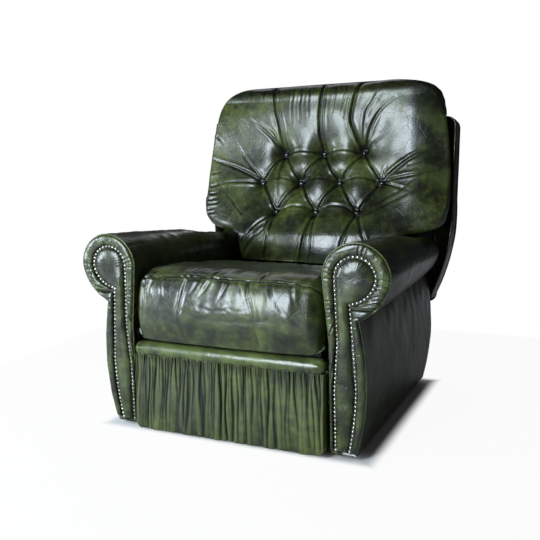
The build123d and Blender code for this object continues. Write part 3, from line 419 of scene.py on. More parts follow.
def arm_ring(side, depth, inset=0.0):
    """One upright cross-section of an arm, drawn in at its ends."""
    share = np.clip((depth - board_depth) / (arm_length - board_depth), 0, 1)
    radius = scroll_radius * curve(roll_shares, roll_radius_shares, share)
    centre = (scroll_centre[0], scroll_centre[1] - scroll_radius * curve(roll_shares, roll_drop_shares, share))
    roll = round_scroll(centre, radius, neck, (34, 34, 34))
    foot_x = arm_inner_x if depth <= board_depth else frame_outer_x
    foot, ledge, frame_top, knee = (
        (foot_x, arm_foot_z), (foot_x, frame_top_z), (arm_inner_x, frame_top_z), (arm_inner_x, knee_z)
    )
    low = np.vstack([run(foot, ledge, 24), run(ledge, frame_top, 4), run(frame_top, knee, 2)])
    high = np.vstack([run(knee, roll[0][0], 26), *roll, arc(neck, belly, outer_foot, 50)])
    sole = run(outer_foot, foot, 8)
    free = np.repeat((0.0, 1.0, 0.0), (len(low), len(high), len(sole)))
    drawn = grown(np.vstack([low, high, sole]), -inset * free[:, None], True)
    return places(side * drawn[:, 0], depth, drawn[:, 1])


def arm_field(side):
    """Soft waves over an arm, and short gathers where the leather turns in behind the facing."""

    def field(place, normals):
        across, depth, height = side * place[:, 0], place[:, 1], place[:, 2]
        angle = np.arctan2(height - scroll_centre[1], across - scroll_centre[0])
        on_roll = smooth_step(360, 440, height)
        waves = (1.3 * ripples(place, 190, 11) + 0.5 * ripples(place, 60, 12)) * smooth_step(20, 60, depth)
        gathers = np.zeros(len(place))
        source = np.random.default_rng(7)
        for _ in range(arm_gathers):
            at = source.uniform(-0.5, 3.2)
            slope = source.uniform(-0.0022, 0.0022)
            width = source.uniform(0.035, 0.07)
            length = source.uniform(50, 130)
            gathers += bell(depth, 6, length) * smooth_step(0, 10, depth) * bell(angle, at + slope * depth, width)
        # Painted shade: the leather is darkened in the short gathers and along the crease under the scroll's neck.
        neck_line = bell(height, neck[1], 9) * (across > 380)
        folds = 0.22 * ripples(place, 150, 14) * on_roll - 0.5 * gathers - 0.8 * neck_line
        keep = np.clip(smooth_step(318, 330, height) + (across > 352), 0, 1)
        return (waves - 1.9 * gathers * on_roll) * keep, folds

    return field


for side_name, side in sides.items():
    rings = [arm_ring(side, 0.0, front_round + 1.5)]
    for turn in np.linspace(0, quarter_turn, 5):
        rings.append(arm_ring(side, front_round * (1 - math.cos(turn)), front_round * (1 - math.sin(turn))))
    rings += [arm_ring(side, depth) for depth in (8.0, 13.0, board_depth)]
    rings += [arm_ring(side, depth) for depth in np.linspace(board_depth + 0.2, arm_length - end_round, 96)]
    for turn in np.linspace(0, quarter_turn, 8)[1:]:
        rings.append(arm_ring(side, arm_length - end_round * (1 - math.sin(turn)), end_round * (1 - math.cos(turn))))
    covered = (side_name + "_arm_pad", side_name + "_facing_board")
    upholster(side_name + "_arm_leather", rings, arm_field(side), "base", covered)


# Arm linings: the leather of each arm turned in and stapled over the front of its timber frame,
# round the steel base plate, which is screwed straight to the timber, and over its rear post.
lining_thickness = 0.9
lining_columns = 20
rear_lining_depth = arm_length + 0.2
rear_lining_across = (arm_inner_x - 4.6, frame_outer_x + 3)
rear_lining_top = 300.0
# Patches on the inner face: from and to in depth, and in height.
lining_patches = ((1.0, 21.0, 16.0, 314.0), (21.2, 230.0, 261.5, 314.0), (21.2, 120.0, 16.0, 198.0))


def arm_lining(name, near, far, levels, seed, lining_shade):
    """A thin patch between two upright faces, each a line of (across, depth)."""
    loop = np.vstack([near, far[::-1]])
    rings = [places(loop[:, 0], loop[:, 1], z) for z in levels]
    # Painted shade: each lining is drawn darker, the inner patches more than the rear ones.
    upholster(name, rings, lambda place, normals: (0.0, 0.3 * ripples(place, 60, seed) - lining_shade), "base")


for side_name, side in sides.items():
    for number, (start, end, low, high) in enumerate(lining_patches):
        depths = np.linspace(start, end, lining_columns)
        near, far = (places(side * (arm_inner_x - gap), depths) for gap in (lining_thickness, 0.1))
        arm_lining(f"{side_name}_arm_lining_{number + 1}", near, far, np.linspace(low, high, 24), 15, 0.6)
    across = side * np.linspace(*rear_lining_across, lining_columns)[::-1]
    near, far = (places(across, rear_lining_depth + gap) for gap in (0.0, lining_thickness))
    levels = np.linspace(arm_foot_z + 1, rear_lining_top, 30)
    arm_lining(side_name + "_arm_rear_lining", near, far, levels, 16, 0.3)


# Facings: on the front of each arm, a padded centre panel inside a line of nails, a puffed border
# that is pleated round the scroll, a narrower strip below the neck, and a thin piping at the edge.
pad_height = 10.0
valley_width = 5.8
head_centre = (390.0, 506.0)
head_radius = 57.0
panel_corner = (375.0, 437.0)
panel_waist = (340.0, 330.0)
panel_hip_inner = (330.0, 200.0)
panel_hip_outer = (391.0, 200.0)
panel_foot_inner = (331.0, 20.8)
panel_foot_outer = (370.0, 20.8)
spine_levels = (40.0, 200.0, 330.0, 430.0, 480.0, 506.0)
spine_middles = (350.5, 360.5, 360.0, 352.0, 374.0, 390.0)
panel_shares = (0.0, 0.02, 0.05, 0.1, 0.17, 0.26, 0.38, 0.52, 0.68, 0.84, 0.97)
border_foot_z = arm_foot_z + 2 * valley_width
strip_top_z = 425.0
piping_radius = 2.6
piping_sides = 10
# Pleats: where along the strip, as a share of its length, and how deep.
border_pleats = (
    (0.30, 1.3), (0.455, 2.3), (0.475, 2.6), (0.585, 2.4), (0.60, 2.8), (0.735, 2.6), (0.75, 2.3), (0.87, 2.0),
    (0.93, 1.7),
)
strip_pleats = ((0.06, 2.2), (0.12, 1.6), (0.30, 0.8), (0.62, 0.8))


def panel_outline(count=1):
    """The line of the nails, from the inner foot up, round the head and down to the outer foot."""
    head = round_scroll(head_centre, head_radius, panel_corner, (28 * count, 28 * count, 24 * count))
    shoulder = ((panel_corner[0] + panel_hip_outer[0]) / 2, panel_waist[1])
    calf = ((panel_hip_outer[0] + panel_foot_outer[0] + valley_width) / 2, panel_hip_outer[1] / 2)
    return [
        run(panel_foot_inner, panel_hip_inner, 40 * count),
        run(panel_hip_inner, panel_waist, 28 * count),
        run(panel_waist, head[0][0], 36 * count),
        *head,
        arc(panel_corner, shoulder, panel_hip_outer, 46 * count),
        arc(panel_hip_outer, calf, panel_foot_outer, 40 * count),
    ]


def facing_panel(side, node):
    """The centre panel: rings that draw in to a spine and rise to a crown."""
    line = np.vstack(panel_outline() + [run(panel_foot_outer, panel_foot_inner, 14)])
    edge = grown(line, 1.0 - valley_width, True)
    edge[:, 1] = np.maximum(edge[:, 1], panel_foot_inner[1])
    spine_z = np.clip(edge[:, 1], 44.0, spine_levels[-1])
    spine = places(curve(spine_levels, spine_middles, spine_z), spine_z)
    rings = [places(side * edge[:, 0], 0.0, edge[:, 1])]
    for share in panel_shares:
        height = pad_height * 1.25 * (1 - (1 - share) ** 2.6) ** 0.55
        place = edge + (spine - edge) * share
        rings.append(places(side * place[:, 0], -0.3 - height, place[:, 1]))

    def field(place, normals):
        beside, above = side * place[:, 0] - head_centre[0], place[:, 2] - head_centre[1]
        turn = np.arctan2(above, beside)
        rim = bell(np.hypot(beside, above), 50, 16) * (place[:, 2] > 455)
        gathers = rim * np.cos(turn * 19 + 1.5 * np.sin(turn * 3)) ** 4
        waves = 0.8 * ripples(place, 70, 21) + 0.35 * ripples(place, 28, 22)
        # Painted shade: the panel is darkened in the rim's gathers and towards its edge, down in the valley by the
        # nails.
        folds = 0.3 * ripples(place, 90, 23) - 0.5 * gathers - 0.9 * (1 - smooth_step(0, 6.5, -place[:, 1]))
        return (waves - 0.8 * gathers) * smooth_step(0.5, 3.0, -place[:, 1]), folds

    upholster(node + "_leather", rings, field, "base", (node,))


def puffed(side, node, outer, inner, pleats, seed):
    """A puffed strip between two lines, with short pleats across it at shares of its length."""
    steps = np.linspace(0, 1, 15)
    crown = pad_height * (1 - np.abs(2 * steps - 1) ** 2.6) ** 0.5
    length = len(outer)
    ends = np.minimum(np.arange(length), np.arange(length)[::-1]) / 5.0
    lift = np.sqrt(np.clip(1 - (1 - np.clip(ends, 0, 1)) ** 2, 0, 1))
    rings = []
    for start, end, rise in zip(outer, inner, lift):
        across = start + np.outer(steps, end - start)
        face = places(side * across[:, 0], -0.1 - crown * (0.15 + 0.85 * rise), across[:, 1])
        rings.append(np.vstack([face, face[-2:0:-1] * (1, 0, 1)]))

    def field(place, normals):
        flat = places(side * place[:, 0], place[:, 2])
        height = 0.55 * ripples(place, 46, seed) + 0.3 * ripples(place, 19, seed + 1)
        # Painted shade towards the strip's edges, down by the board, and in each pleat, with a painted highlight on
        # its banks.
        folds = 0.3 * ripples(place, 60, seed + 2) - 0.8 * (1 - smooth_step(0, 6, -place[:, 1]))
        for share, depth in pleats:
            spot, foot = (line[int(share * (length - 1))] for line in (outer, inner))
            reach = np.linalg.norm(foot - spot)
            toward = (foot - spot) / reach
            from_spot = flat - spot
            beside = from_spot[:, 0] * toward[1] - from_spot[:, 1] * toward[0]
            near = bell(beside, 0, 1.9) * (0.45 + 0.55 * np.clip(from_spot @ toward / reach, 0, 1))
            bulge = bell(beside, 4.5, 3.0) + bell(beside, -4.5, 3.0)
            height += depth * (-near + 0.3 * bulge)
            folds += -0.95 * near * min(1.0, depth / 2.5) + 0.25 * bulge
        return height * smooth_step(1.0, 6.0, -place[:, 1]), folds

    upholster(node + "_leather", rings, field, "base", (node,))


def piping(name, line, depth):
    """A round piping along a flat line at one depth, drawn in at its ends."""
    outward = grown(line, 1.0) - line
    turns = np.arange(piping_sides) / piping_sides * full_turn
    rings = []
    for index, (place, away) in enumerate(zip(line, outward)):
        swell = piping_radius * math.sqrt(np.clip(min(index, len(line) - 1 - index) / 2 + 0.1, 0, 1))
        ring = place + np.outer(np.cos(turns) * swell, away)
        rings.append(places(ring[:, 0], depth + np.sin(turns) * swell, ring[:, 1]))
    # The piping is tinted in the paler ridge colour all over: wear and painted highlight.
    upholster(name, rings, lambda place, normals: (0.0, 0.75), "base")


parts = panel_outline(2)
scroll = round_scroll(scroll_centre, scroll_radius, neck, (56, 56, 120))
hip_z = panel_hip_inner[1]
above = scroll[2][scroll[2][:, 1] > strip_top_z]
outer_line = np.vstack([
    run((arm_inner_x, border_foot_z), (arm_inner_x, hip_z), 80),
    run((arm_inner_x, hip_z), (arm_inner_x, knee_z), 56),
    run((arm_inner_x, knee_z), scroll[0][0], 72),
    *scroll[:2],
    above[np.linspace(0, len(above) - 1, 48).astype(int)],
])
inner_line = grown(np.vstack(parts[:6]), valley_width - 1.5)[: len(outer_line)]
inner_line[:, 1] = np.maximum(inner_line[:, 1], border_foot_z)
lower = np.vstack([scroll[2][scroll[2][:, 1] <= strip_top_z], arc(neck, belly, outer_foot, 170)])
lower = lower[lower[:, 1] > border_foot_z]
nail_side = grown(np.vstack(parts[6:]), valley_width - 1.5)
nail_side = nail_side[(nail_side[:, 1] > border_foot_z) & (nail_side[:, 1] < strip_top_z)]
levels = np.linspace(strip_top_z - 1.0, border_foot_z + 0.5, 150)
strip_outer, strip_inner = (places(curve(line[::-1, 1], line[::-1, 0], levels), levels) for line in (lower, nail_side))
piping_line = grown(np.vstack([outer_line, lower[lower[:, 1] < strip_top_z - 2][::3]]), -1.8)

for side_name, side in sides.items():
    facing_panel(side, side_name + "_facing_panel")
    puffed(side, side_name + "_facing_border", grown(outer_line, -1.0), inner_line, border_pleats, 31)
    puffed(side, side_name + "_outer_strip", strip_outer - (1.0, 0.0), strip_inner, strip_pleats, 41)
    piping(side_name + "_facing_piping", piping_line * (side, 1), -0.5)


# Seat cushion: a thick crowned block of foam in leather, with a double-stitched seam across its
# front edge, pleats that sweep back from the seam and creases where sitters have pressed it.
seat_half_width = 299.0
seat_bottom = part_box("seat_cushion")[0][2] * 1000
seat_front = -38.0
seat_rear = 722.0
seat_height = 218.0
seat_left_inset = 24.0
seat_right_inset = 30.0
seat_end_round = 34.0
# The outline from front to rear, in shares of the length and the height, and its arcs' points.
seat_profile = (
    (0.022, 0.0), (0.0, 0.42), (0.034, 0.835), (0.085, 0.945), (0.16, 0.972),
    (0.52, 0.835), (0.86, 0.58), (0.965, 0.47), (1.0, 0.34), (0.99, 0.0),
)
seat_arc_points = (54, 34, 72, 24)
seam_run = 205.0
# Folds on a flat map of the cushion. First how deep and wide, how high its ridge, on which side,
# and its strength at the start and the end, then its places: across, and along from the front foot.
seat_folds = (
    ((2.4, 5, 2), (-252, 207, -222, 262, -150, 330)),
    ((2.2, 4.5, 1.6), (-130, 207, -96, 270, -60, 330)),
    ((1.8, 4, 1.2), (-112, 207, -60, 262, -10, 318)),
    ((3.4, 5.5, 2.6), (-40, 207, -2, 270, 60, 345)),
    ((2.4, 5, 1.4, -1), (118, 207, 124, 250, 118, 300)),
    ((3, 5, 2.2, -1, 1, 0.2), (-262, 203, -262, 150, -258, 105, -262, 60)),
    ((3, 5, 2.4, 1, 0.9, 0.4), (-112, 200, -121, 140, -132, 85, -122, 25)),
    ((2.4, 4.5, 1.6, 1, 1, 0.1), (-34, 200, -52, 165, -75, 135)),
    ((3, 5, 2.2, -1, 1, 0.4), (82, 200, 90, 155, 104, 120, 112, 60, 120, 20)),
    ((1.5, 6, 1.2, 1, 0.3, 0.3), (-150, 150, -60, 118, 40, 112, 96, 122)),
    ((1.6, 6, 1.3, 1, 0.3, 0.4), (-120, 105, -30, 86, 70, 84, 150, 96)),
    ((1.4, 7, 1.2, 1, 0.3, 0.3), (-210, 90, -120, 62, -20, 50, 90, 52)),
    ((1.8, 6, 1.5, 1, 0.5, 0.2), (150, 185, 190, 130, 235, 95, 268, 60)),
    ((1.4, 5, 1.3, 1, 0.6), (-268, 180, -215, 135, -170, 110)),
    ((1.8, 4, 1.5), (-232, 196, -238, 165, -224, 128)),
    ((2, 4.5, 1.6), (-190, 198, -186, 160, -168, 124)),
    ((1.8, 4, 1.5, -1), (-72, 198, -84, 170, -104, 140)),
    ((1.8, 4.5, 1.5), (20, 199, 8, 160, -16, 118)),
    ((1.5, 4, 1.3, -1), (48, 198, 64, 158, 70, 126)),
    ((2, 4.5, 1.6, -1), (150, 198, 158, 160, 176, 118)),
    ((1.6, 4.5, 1.4, -1), (212, 199, 222, 160, 232, 122)),
    ((1, 8, 0.9, 1, 0.2, 0.2), (-200, 262, -60, 300, 120, 296, 230, 262)),
    ((1.4, 12, 1.4, 1, 0.2, 0.2), (-215, 420, -60, 440, 110, 436, 215, 415)),
    ((1.4, 14, 1.2, 1, 0.2, 0.2), (-180, 520, -20, 540, 150, 522)),
)


def seat_line(inset, height):
    """The seat cushion's lengthwise outline, from its front foot over the crown to its rear foot."""
    front = seat_front + inset
    spots = [(front + (seat_rear - front) * length, seat_bottom + height * rise) for length, rise in seat_profile]
    arcs = [arc(*spots[2 * step : 2 * step + 3], count) for step, count in enumerate(seat_arc_points)]
    return np.vstack([*arcs, run(spots[8], spots[9], 10), run(spots[9], spots[0], 40)])


def lengths_along(line):
    """How far each point of a line lies from its start, along it."""
    return np.concatenate([[0], np.cumsum(np.linalg.norm(np.diff(line, axis=0), axis=1))])


def crease(place, path, deep, width, ridge, aside=1, start=1.0, end=0.0, wide=0.0, valley_patina_and_shade=0.8):
    """A sewn or pressed crease along a path over a flat map: how far it lifts each point, and its tint of patina and
    painted shade in the valley and painted highlight on the banks.
    """
    path = np.reshape(path, (-1, 2)).astype(float)
    if len(path) > 2:
        knots = lengths_along(path)
        at = np.linspace(0, knots[-1], 4 * len(path))
        path = places(curve(knots, path[:, 0], at), curve(knots, path[:, 1], at))
    pieces = np.diff(path, axis=0)
    lengths = np.linalg.norm(pieces, axis=1)
    margin = 7 * width + 2.5 * wide
    picked = np.all((place > path.min(0) - margin) & (place < path.max(0) + margin), axis=1)
    spot = place[picked]
    best = np.full(len(spot), 1e9)
    beside, along = np.zeros((2, len(spot)))
    before = 0.0
    for corner, piece, length in zip(path, pieces, lengths):
        direction = piece / length
        reach = spot - corner
        share = np.clip(reach @ direction, 0, length)
        distance = np.hypot(*(reach - np.outer(share, direction)).T)
        closer = distance < best
        side_of = np.sign(reach[:, 0] * direction[1] - reach[:, 1] * direction[0])
        beside = np.where(closer, side_of * distance, beside)
        along = np.where(closer, (before + share) / lengths.sum(), along)
        best = np.where(closer, distance, best)
        before += length
    strength = start + (end - start) * smooth_step(0.15, 1.0, along)
    valley = np.exp(-((best / width) ** 1.4))
    bank, far_bank = (bell(beside * aside, 1.9 * width * way, 1.4 * width) for way in (1, -1))
    basin = bell(best, 0, wide) if wide else 0.0
    lift = np.zeros((2, len(place)))
    lift[0, picked] = strength * (-deep * valley - 0.45 * deep * basin + ridge * (bank + 0.35 * far_bank))
    lift[1, picked] = strength * (-valley_patina_and_shade * valley + 0.35 * np.clip(ridge, 0, 2) / 2 * (bank + 0.3 * far_bank))
    return lift


def creases(flat, folds, slim=1.0, valley_patina_and_shade=0.8):
    """All of a table's folds together: how far they lift each point, and their tint of patina, painted shade and
    painted highlight.
    """
    total = np.zeros((2, len(flat)))
    for (deep, width, *rest), path in folds:
        total += crease(flat, path, deep, slim * width, *rest, valley_patina_and_shade=valley_patina_and_shade)
    return total


def stations(half, end, gap, count, turns):
    """Places from end to end of a cushion, closer where its ends round over at the given turns."""
    near = end * (1 - np.cos(turns))
    flat_half = half - end - gap
    return np.concatenate([near - half, np.linspace(-flat_half, flat_half, count), (half - near)[::-1]])


def seat_field(place, normals):
    """The seam, its puckers, the folds and the cushion's soft hollows."""
    flat, across = place[:, 1:], place[:, 0]
    nearest = np.empty(len(place))
    for first in range(0, len(place), 4000):
        gap = flat[first : first + 4000, None, :] - seat_map_line[None, :, :]
        nearest[first : first + 4000] = seat_map_run[np.argmin((gap**2).sum(2), 1)]
    from_seam = nearest - seam_run
    seam = bell(from_seam, 0, 2.6)
    puckers = np.cos(across / 8.5 + 1.6 * np.sin(across / 41) + 0.9 * np.sin(across / 17))
    web = bell(across, -10, 95) * bell(nearest, 105, 55)
    height, folds = creases(places(across, nearest), seat_folds)
    height += 2.2 * ripples(place, 230, 51) + 0.7 * ripples(place, 75, 52)
    height += 1.6 * bell(np.abs(from_seam), 8, 5) - 3.2 * seam + 0.55 * puckers * bell(from_seam, 0, 17)
    height += 0.4 * web * ripples(place * (1, 1, 1.6), 26, 54) - 3.0 * bell(across, 0, 175) * bell(nearest, 470, 165)
    # Painted shade along the seam and a painted highlight on its banks.
    folds += 0.25 * ripples(place, 120, 53) - 0.95 * seam + 0.3 * bell(np.abs(from_seam), 7, 4)
    return height * (flat[:, 1] > seat_bottom + 1), folds


seat_map_line = seat_line(0.0, seat_height)
seat_map_run = lengths_along(seat_map_line)
seat_rings = []
for across in stations(seat_half_width, seat_end_round, 4.5, 118, np.linspace(0, quarter_turn, 9)):
    share = abs(across) / seat_half_width
    inset = (seat_right_inset if across > 0 else seat_left_inset) * curve((0, 0.6, 0.88, 1), (0, 0.09, 0.42, 1), share)
    line = seat_line(inset, seat_height * curve((0, 0.5, 0.88, 1), (1, 0.995, 0.97, 0.92), share))
    out = max(0.0, abs(across) - (seat_half_width - seat_end_round)) / seat_end_round
    line = grown(line, -seat_end_round * (1 - math.sqrt(max(0.0, 1 - out * out))), True)
    seat_rings.append(places(across, line[:, 0], np.maximum(line[:, 1], seat_bottom)))
seat = upholster("seat_cushion_leather", seat_rings, seat_field, "seat", ("seat_cushion",))


# Apron: a strip of leather stapled round the front of the seat's rails, under the cushion.
apron_half = 279.6
apron_front = 35.0
apron_rear = 150.0
apron_levels = np.linspace(250.0, 288.0, 9)
apron_thickness = 1.4
apron_bend, apron_bend_middle = 3.0, 0.9

apron_corner = [
    (-apron_half, apron_front + apron_bend),
    (apron_bend_middle - apron_half, apron_front + apron_bend_middle),
    (apron_bend - apron_half, apron_front),
]
far_corner = [(-across, depth) for across, depth in apron_corner[::-1]]
apron_path = np.vstack([
    run((-apron_half, apron_rear), apron_corner[0], 24),
    arc(*apron_corner, 5),
    run(apron_corner[2], far_corner[0], 80),
    arc(*far_corner, 5),
    run(far_corner[2], (apron_half, apron_rear), 24),
])
apron_inside = grown(apron_path, apron_thickness)
rings = [
    np.vstack([places(*outer_place, apron_levels), places(*inner_place, apron_levels[::-1])])
    for outer_place, inner_place in zip(apron_path, apron_inside)
]
# Painted shade: the apron is drawn darker, as it lies under the cushion.
upholster(
    "seat_apron_leather", rings, lambda place, normals: (0.0, 0.2 * ripples(place, 60, 55) - 0.6), "seat", ()
)


# Seam stitches: two rows of waxed thread along the seat cushion's front seam. A node group sets
# one stitch to each pitch of the sewn line.
stitch_sizes = {"Pitch": 0.0056, "Length": 0.0038, "Radius": 0.00055}
stitch_lift = 0.0001
stitch_offsets = (-8.5, 8.5)
stitch_end_rings = 13


def clouded(name, noise, stops=None, polish=None, relief=None, stretch=None, **shader):
    """A finish whose noise clouds its tones, its polish (roughness from and to) and its relief."""
    material, tree = new_material(name)
    place = add_node(tree, "TexCoord").outputs["Object"]
    if stretch:
        place = add_node(tree, "Mapping", Vector=place, Scale=stretch)
    cloud = add_node(tree, "TexNoise", Vector=place, **noise)
    if stops:
        shader["Base_Color"] = add_node(tree, "ValToRGB", Fac=cloud)
        set_stops(shader["Base_Color"].color_ramp, stops)
    if polish:
        span = {"From_Min": 0.3, "From_Max": 0.7, "To_Min": polish[0], "To_Max": polish[1]}
        shader["Roughness"] = add_node(tree, "MapRange", Value=cloud, **span)
    if relief:
        shader["Normal"] = add_node(tree, "Bump", Height=cloud, Strength=relief[0], Distance=relief[1])
    add_node(tree, "OutputMaterial", Surface=add_node(tree, "BsdfPrincipled", **shader))
    return material


# The twist of the thread shows as spots of about 1 mm.
thread = clouded(
    "waxed_linen_thread", {"Scale": 900.0, "Detail": 2.0}, ((0.0, "#2A2E1C"), (1.0, "#545B38")), Roughness=0.55
)
stitching = bpy.data.node_groups.new("stitches_along_a_line", "GeometryNodeTree")
sockets = {}
for name, kind in (("Line", "Geometry"), *((size, "Float") for size in stitch_sizes), ("Thread", "Material")):
    socket = stitching.interface.new_socket(name, in_out="INPUT", socket_type="NodeSocket" + kind)
    sockets[name] = socket.identifier
stitching.interface.new_socket("Stitches", in_out="OUTPUT", socket_type="NodeSocketGeometry")
given = add_node(stitching, "NodeGroupInput").outputs
line_curve = add_node(stitching, "GeometryNodeMeshToCurve", Mesh=given["Line"])
holes = add_node(stitching, "GeometryNodeCurveToPoints", {"mode": "LENGTH"}, Curve=line_curve, Length=given["Pitch"])
ball = add_node(stitching, "GeometryNodeMeshUVSphere", Segments=8, Rings=6, Radius=1.0)
half_length = add_node(stitching, "Math", {"operation": "MULTIPLY"}, _0=given["Length"], _1=0.5)
size = add_node(stitching, "CombineXYZ", X=given["Radius"], Y=given["Radius"], Z=half_length)
along = holes.outputs["Rotation"]
placed = add_node(
    stitching, "GeometryNodeInstanceOnPoints", Points=holes, Instance=ball, Rotation=along, Scale=size
)
real = add_node(stitching, "GeometryNodeRealizeInstances", Geometry=placed)
coloured = add_node(stitching, "GeometryNodeSetMaterial", Geometry=real, Material=given["Thread"])
add_node(stitching, "NodeGroupOutput", Stitches=coloured)

raised_points = (read(seat.data, "co") + read(seat.data, "normal") * stitch_lift).reshape(len(seat_rings), -1, 3)
line_points = []
line_edges = []
for offset in stitch_offsets:
    column = np.argmin(np.abs(seat_map_run - seam_run - offset))
    row = raised_points[stitch_end_rings:-stitch_end_rings, column]
    line_edges += [(first, first + 1) for first in range(len(line_points), len(line_points) + len(row) - 1)]
    line_points += row.tolist()
sewn_mesh = bpy.data.meshes.new("sewn_lines")
sewn_mesh.from_pydata(line_points, line_edges, [])
sewn = link("sewn_lines", sewn_mesh)
modifier = sewn.modifiers.new("stitches", "NODES")
modifier.node_group = stitching
for name, value in {**stitch_sizes, "Thread": thread}.items():
    modifier[sockets[name]] = value
sewn.update_tag()
stitch_mesh = bpy.data.meshes.new_from_object(sewn.evaluated_get(bpy.context.evaluated_depsgraph_get()))
bpy.data.objects.remove(sewn)
stitches = link("seat_seam_stitches", stitch_mesh)
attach(stitches, "seat")


# Footrest: a padded roll over the panel's top edge, folded in at its ends, and under it a leather
# panel that is gathered into deep upright folds, densest at the top.
roll_half_width = 306.0
roll_radius = 22.0
roll_depth = 4.0
roll_z = 256.0
roll_flat_z = 238.3
roll_end = 16.0
roll_sides = 44
panel_half_width = 308.0
panel_top_z = 239.5
panel_foot_z = 8.0
panel_corner_radius = 26.0
panel_back = 8.0
panel_front = -6.0
panel_edge = 1.5
fold_count = 62
across_steps = np.linspace(-1, 1, 640)
height_steps = np.concatenate([np.linspace(0, 0.12, 14), np.linspace(0.12, 1, 62)[1:]])


def roll_field(place, normals):
    """Soft lumps, small gathers along the lower edge and pinched ends."""
    across, depth, z = place.T
    turn = np.arctan2(z - roll_z, roll_depth - depth)
    low = smooth_step(0.3, -0.6, turn) * (depth < roll_depth)
    gathers = np.cos(across / 3.1 + 2.2 * np.sin(across / 23) + np.sin(across / 9.7))
    ends = bell(np.abs(across), 288, 9)
    height = 0.9 * ripples(place, 120, 61) + 0.2 * ripples(place, 34, 62) + 0.7 * gathers * low
    height -= 1.4 * ends * np.cos(turn * 7 + 1)
    # The roll is tinted paler all over, as wear and painted highlight, with painted shade in its lower gathers and its
    # pinched ends.
    folds = 0.8 + 0.3 * ripples(place, 70, 63) - 0.4 * low * (0.5 - 0.5 * gathers) - 0.5 * ends
    return height * smooth_step(roll_flat_z, roll_flat_z + 2, z), folds


rings = []
turns = np.arange(roll_sides) / roll_sides * full_turn
for across in stations(roll_half_width, roll_end, 2, 150, np.linspace(0.15, quarter_turn, 8)):
    out = max(0.0, abs(across) - (roll_half_width - roll_end)) / roll_end
    radius = roll_radius * math.sqrt(max(0.05, 1 - 0.85 * out * out))
    heights = np.maximum(roll_z + radius * np.sin(turns), roll_flat_z)
    rings.append(places(across, roll_depth + 1.02 * radius * np.cos(turns), heights))
upholster("footrest_roll_leather", rings, roll_field, "footrest", ("footrest_roll",))

fold_source = np.random.default_rng(5)
fold_gaps = fold_source.uniform(0.55, 1.6, fold_count + 1)
fold_places = -1 + 2 * np.cumsum(fold_gaps)[:-1] / fold_gaps.sum()
fold_depths = fold_source.uniform(2.5, 8.5, fold_count)
fold_widths = fold_source.uniform(0.005, 0.012, fold_count)
fold_leans = 0.05 * fold_places + fold_source.uniform(-0.028, 0.028, fold_count)
fold_ends = fold_source.uniform(0.1, 1.15, fold_count)


def gathered(shares, level):
    """How far the gathers stand out at shares of the width, and how much painted shade lies in their valleys."""
    stand = np.full(len(shares), 11.0)
    valley_patina_and_shade = np.zeros(len(shares))
    for place, deep, width, slope, end in zip(fold_places, fold_depths, fold_widths, fold_leans, fold_ends):
        at = place + slope * level + 0.007 * math.sin(7 * level + 40 * place)
        strength = 1 - 0.75 * smooth_step(end - 0.3, end + 0.25, level)
        apart = np.abs(shares - at) / (width * (1 + 0.6 * level))
        stand -= deep * strength * np.exp(-apart)
        valley_patina_and_shade += strength * deep / 9.0 * np.exp(-(apart**1.6))
    fine = 0.5 - 0.5 * np.cos(shares * full_turn * 48 + 3.0 * np.sin(shares * 17) + 1.5 * np.sin(shares * 41))
    tight = bell(level, 0, 0.13)
    broad = np.sin(shares * full_turn * 3.3 + 4 * level) + np.sin(shares * full_turn * 5.7 - 3 * level + 1)
    belly_out = 9.0 * smooth_step(0.1, 0.85, level)
    return stand + belly_out - 3.2 * tight * fine + 1.8 * broad * level, valley_patina_and_shade + 0.5 * tight * fine


rings, shades = [], []
for level in height_steps:
    z = panel_top_z + (panel_foot_z - panel_top_z) * level
    below = max(0.0, panel_corner_radius - (z - panel_foot_z))
    drawn = panel_corner_radius - math.sqrt(panel_corner_radius**2 - below**2)
    across = across_steps * (panel_half_width - drawn - panel_edge)
    stand, valley_patina_and_shade = gathered(across / panel_half_width, level)
    rim = np.clip((1 - np.abs(across_steps)) / 0.012, 0, 1) ** 0.5
    turned = math.sqrt(max(0.0, 1 - max(0.0, (level - 0.985) / 0.015) ** 2))
    depth = panel_back - (panel_back - panel_front + stand) * (0.25 + 0.75 * rim) * (0.3 + 0.7 * turned)
    rear = places(across[::-8], panel_back - 0.2, z)
    rings.append(np.vstack([places(across, depth, z), rear]))
    # Painted light: the gathers' ridges are drawn paler, and their valleys and the turned-under foot darker.
    relief = stand - np.convolve(stand, np.ones(31) / 31, "same")
    front_shade = 0.25 + np.clip(relief / 3.4, -0.4, 0.4) - 0.55 * valley_patina_and_shade - 3.5 * max(0.0, level - 0.9)
    shades.append(np.concatenate([front_shade, np.zeros(len(rear))]))
panel = skin("footrest_panel_leather", rings)
keep_folds(panel, np.concatenate(shades))
dress(panel, "footrest", ("footrest_pad",))


# Back cushion: one deep-buttoned cushion with wings over the arms. Its skin follows level sections,
# then each button pulls a dimple, and sewn seams, pleats and pulled folds run between them.
outline_levels = (
    428, 482, 520, 525, 529, 534, 542, 557, 581, 611, 650, 720, 795, 870, 950, 985, 1010, 1032, 1046, 1056, 1062,
)
outline_halves = (
    306, 316, 322, 330, 352, 390, 428, 452, 466, 473, 477, 474, 468, 457, 446, 436, 422, 398, 366, 322, 275,
)
front_levels = (428, 482, 520, 566, 610, 650, 700, 760, 870, 950, 1010)
front_middles = (634, 630, 635, 660, 688, 713, 738, 762, 786, 789, 799)
front_bows = (84, 80, 74, 60, 44, 32, 24, 18, 14, 20, 27)
rear_levels = (428, 566, 650, 760, 870, 950, 1010)
rear_depths = (814, 817, 826, 840, 855, 878, 889)
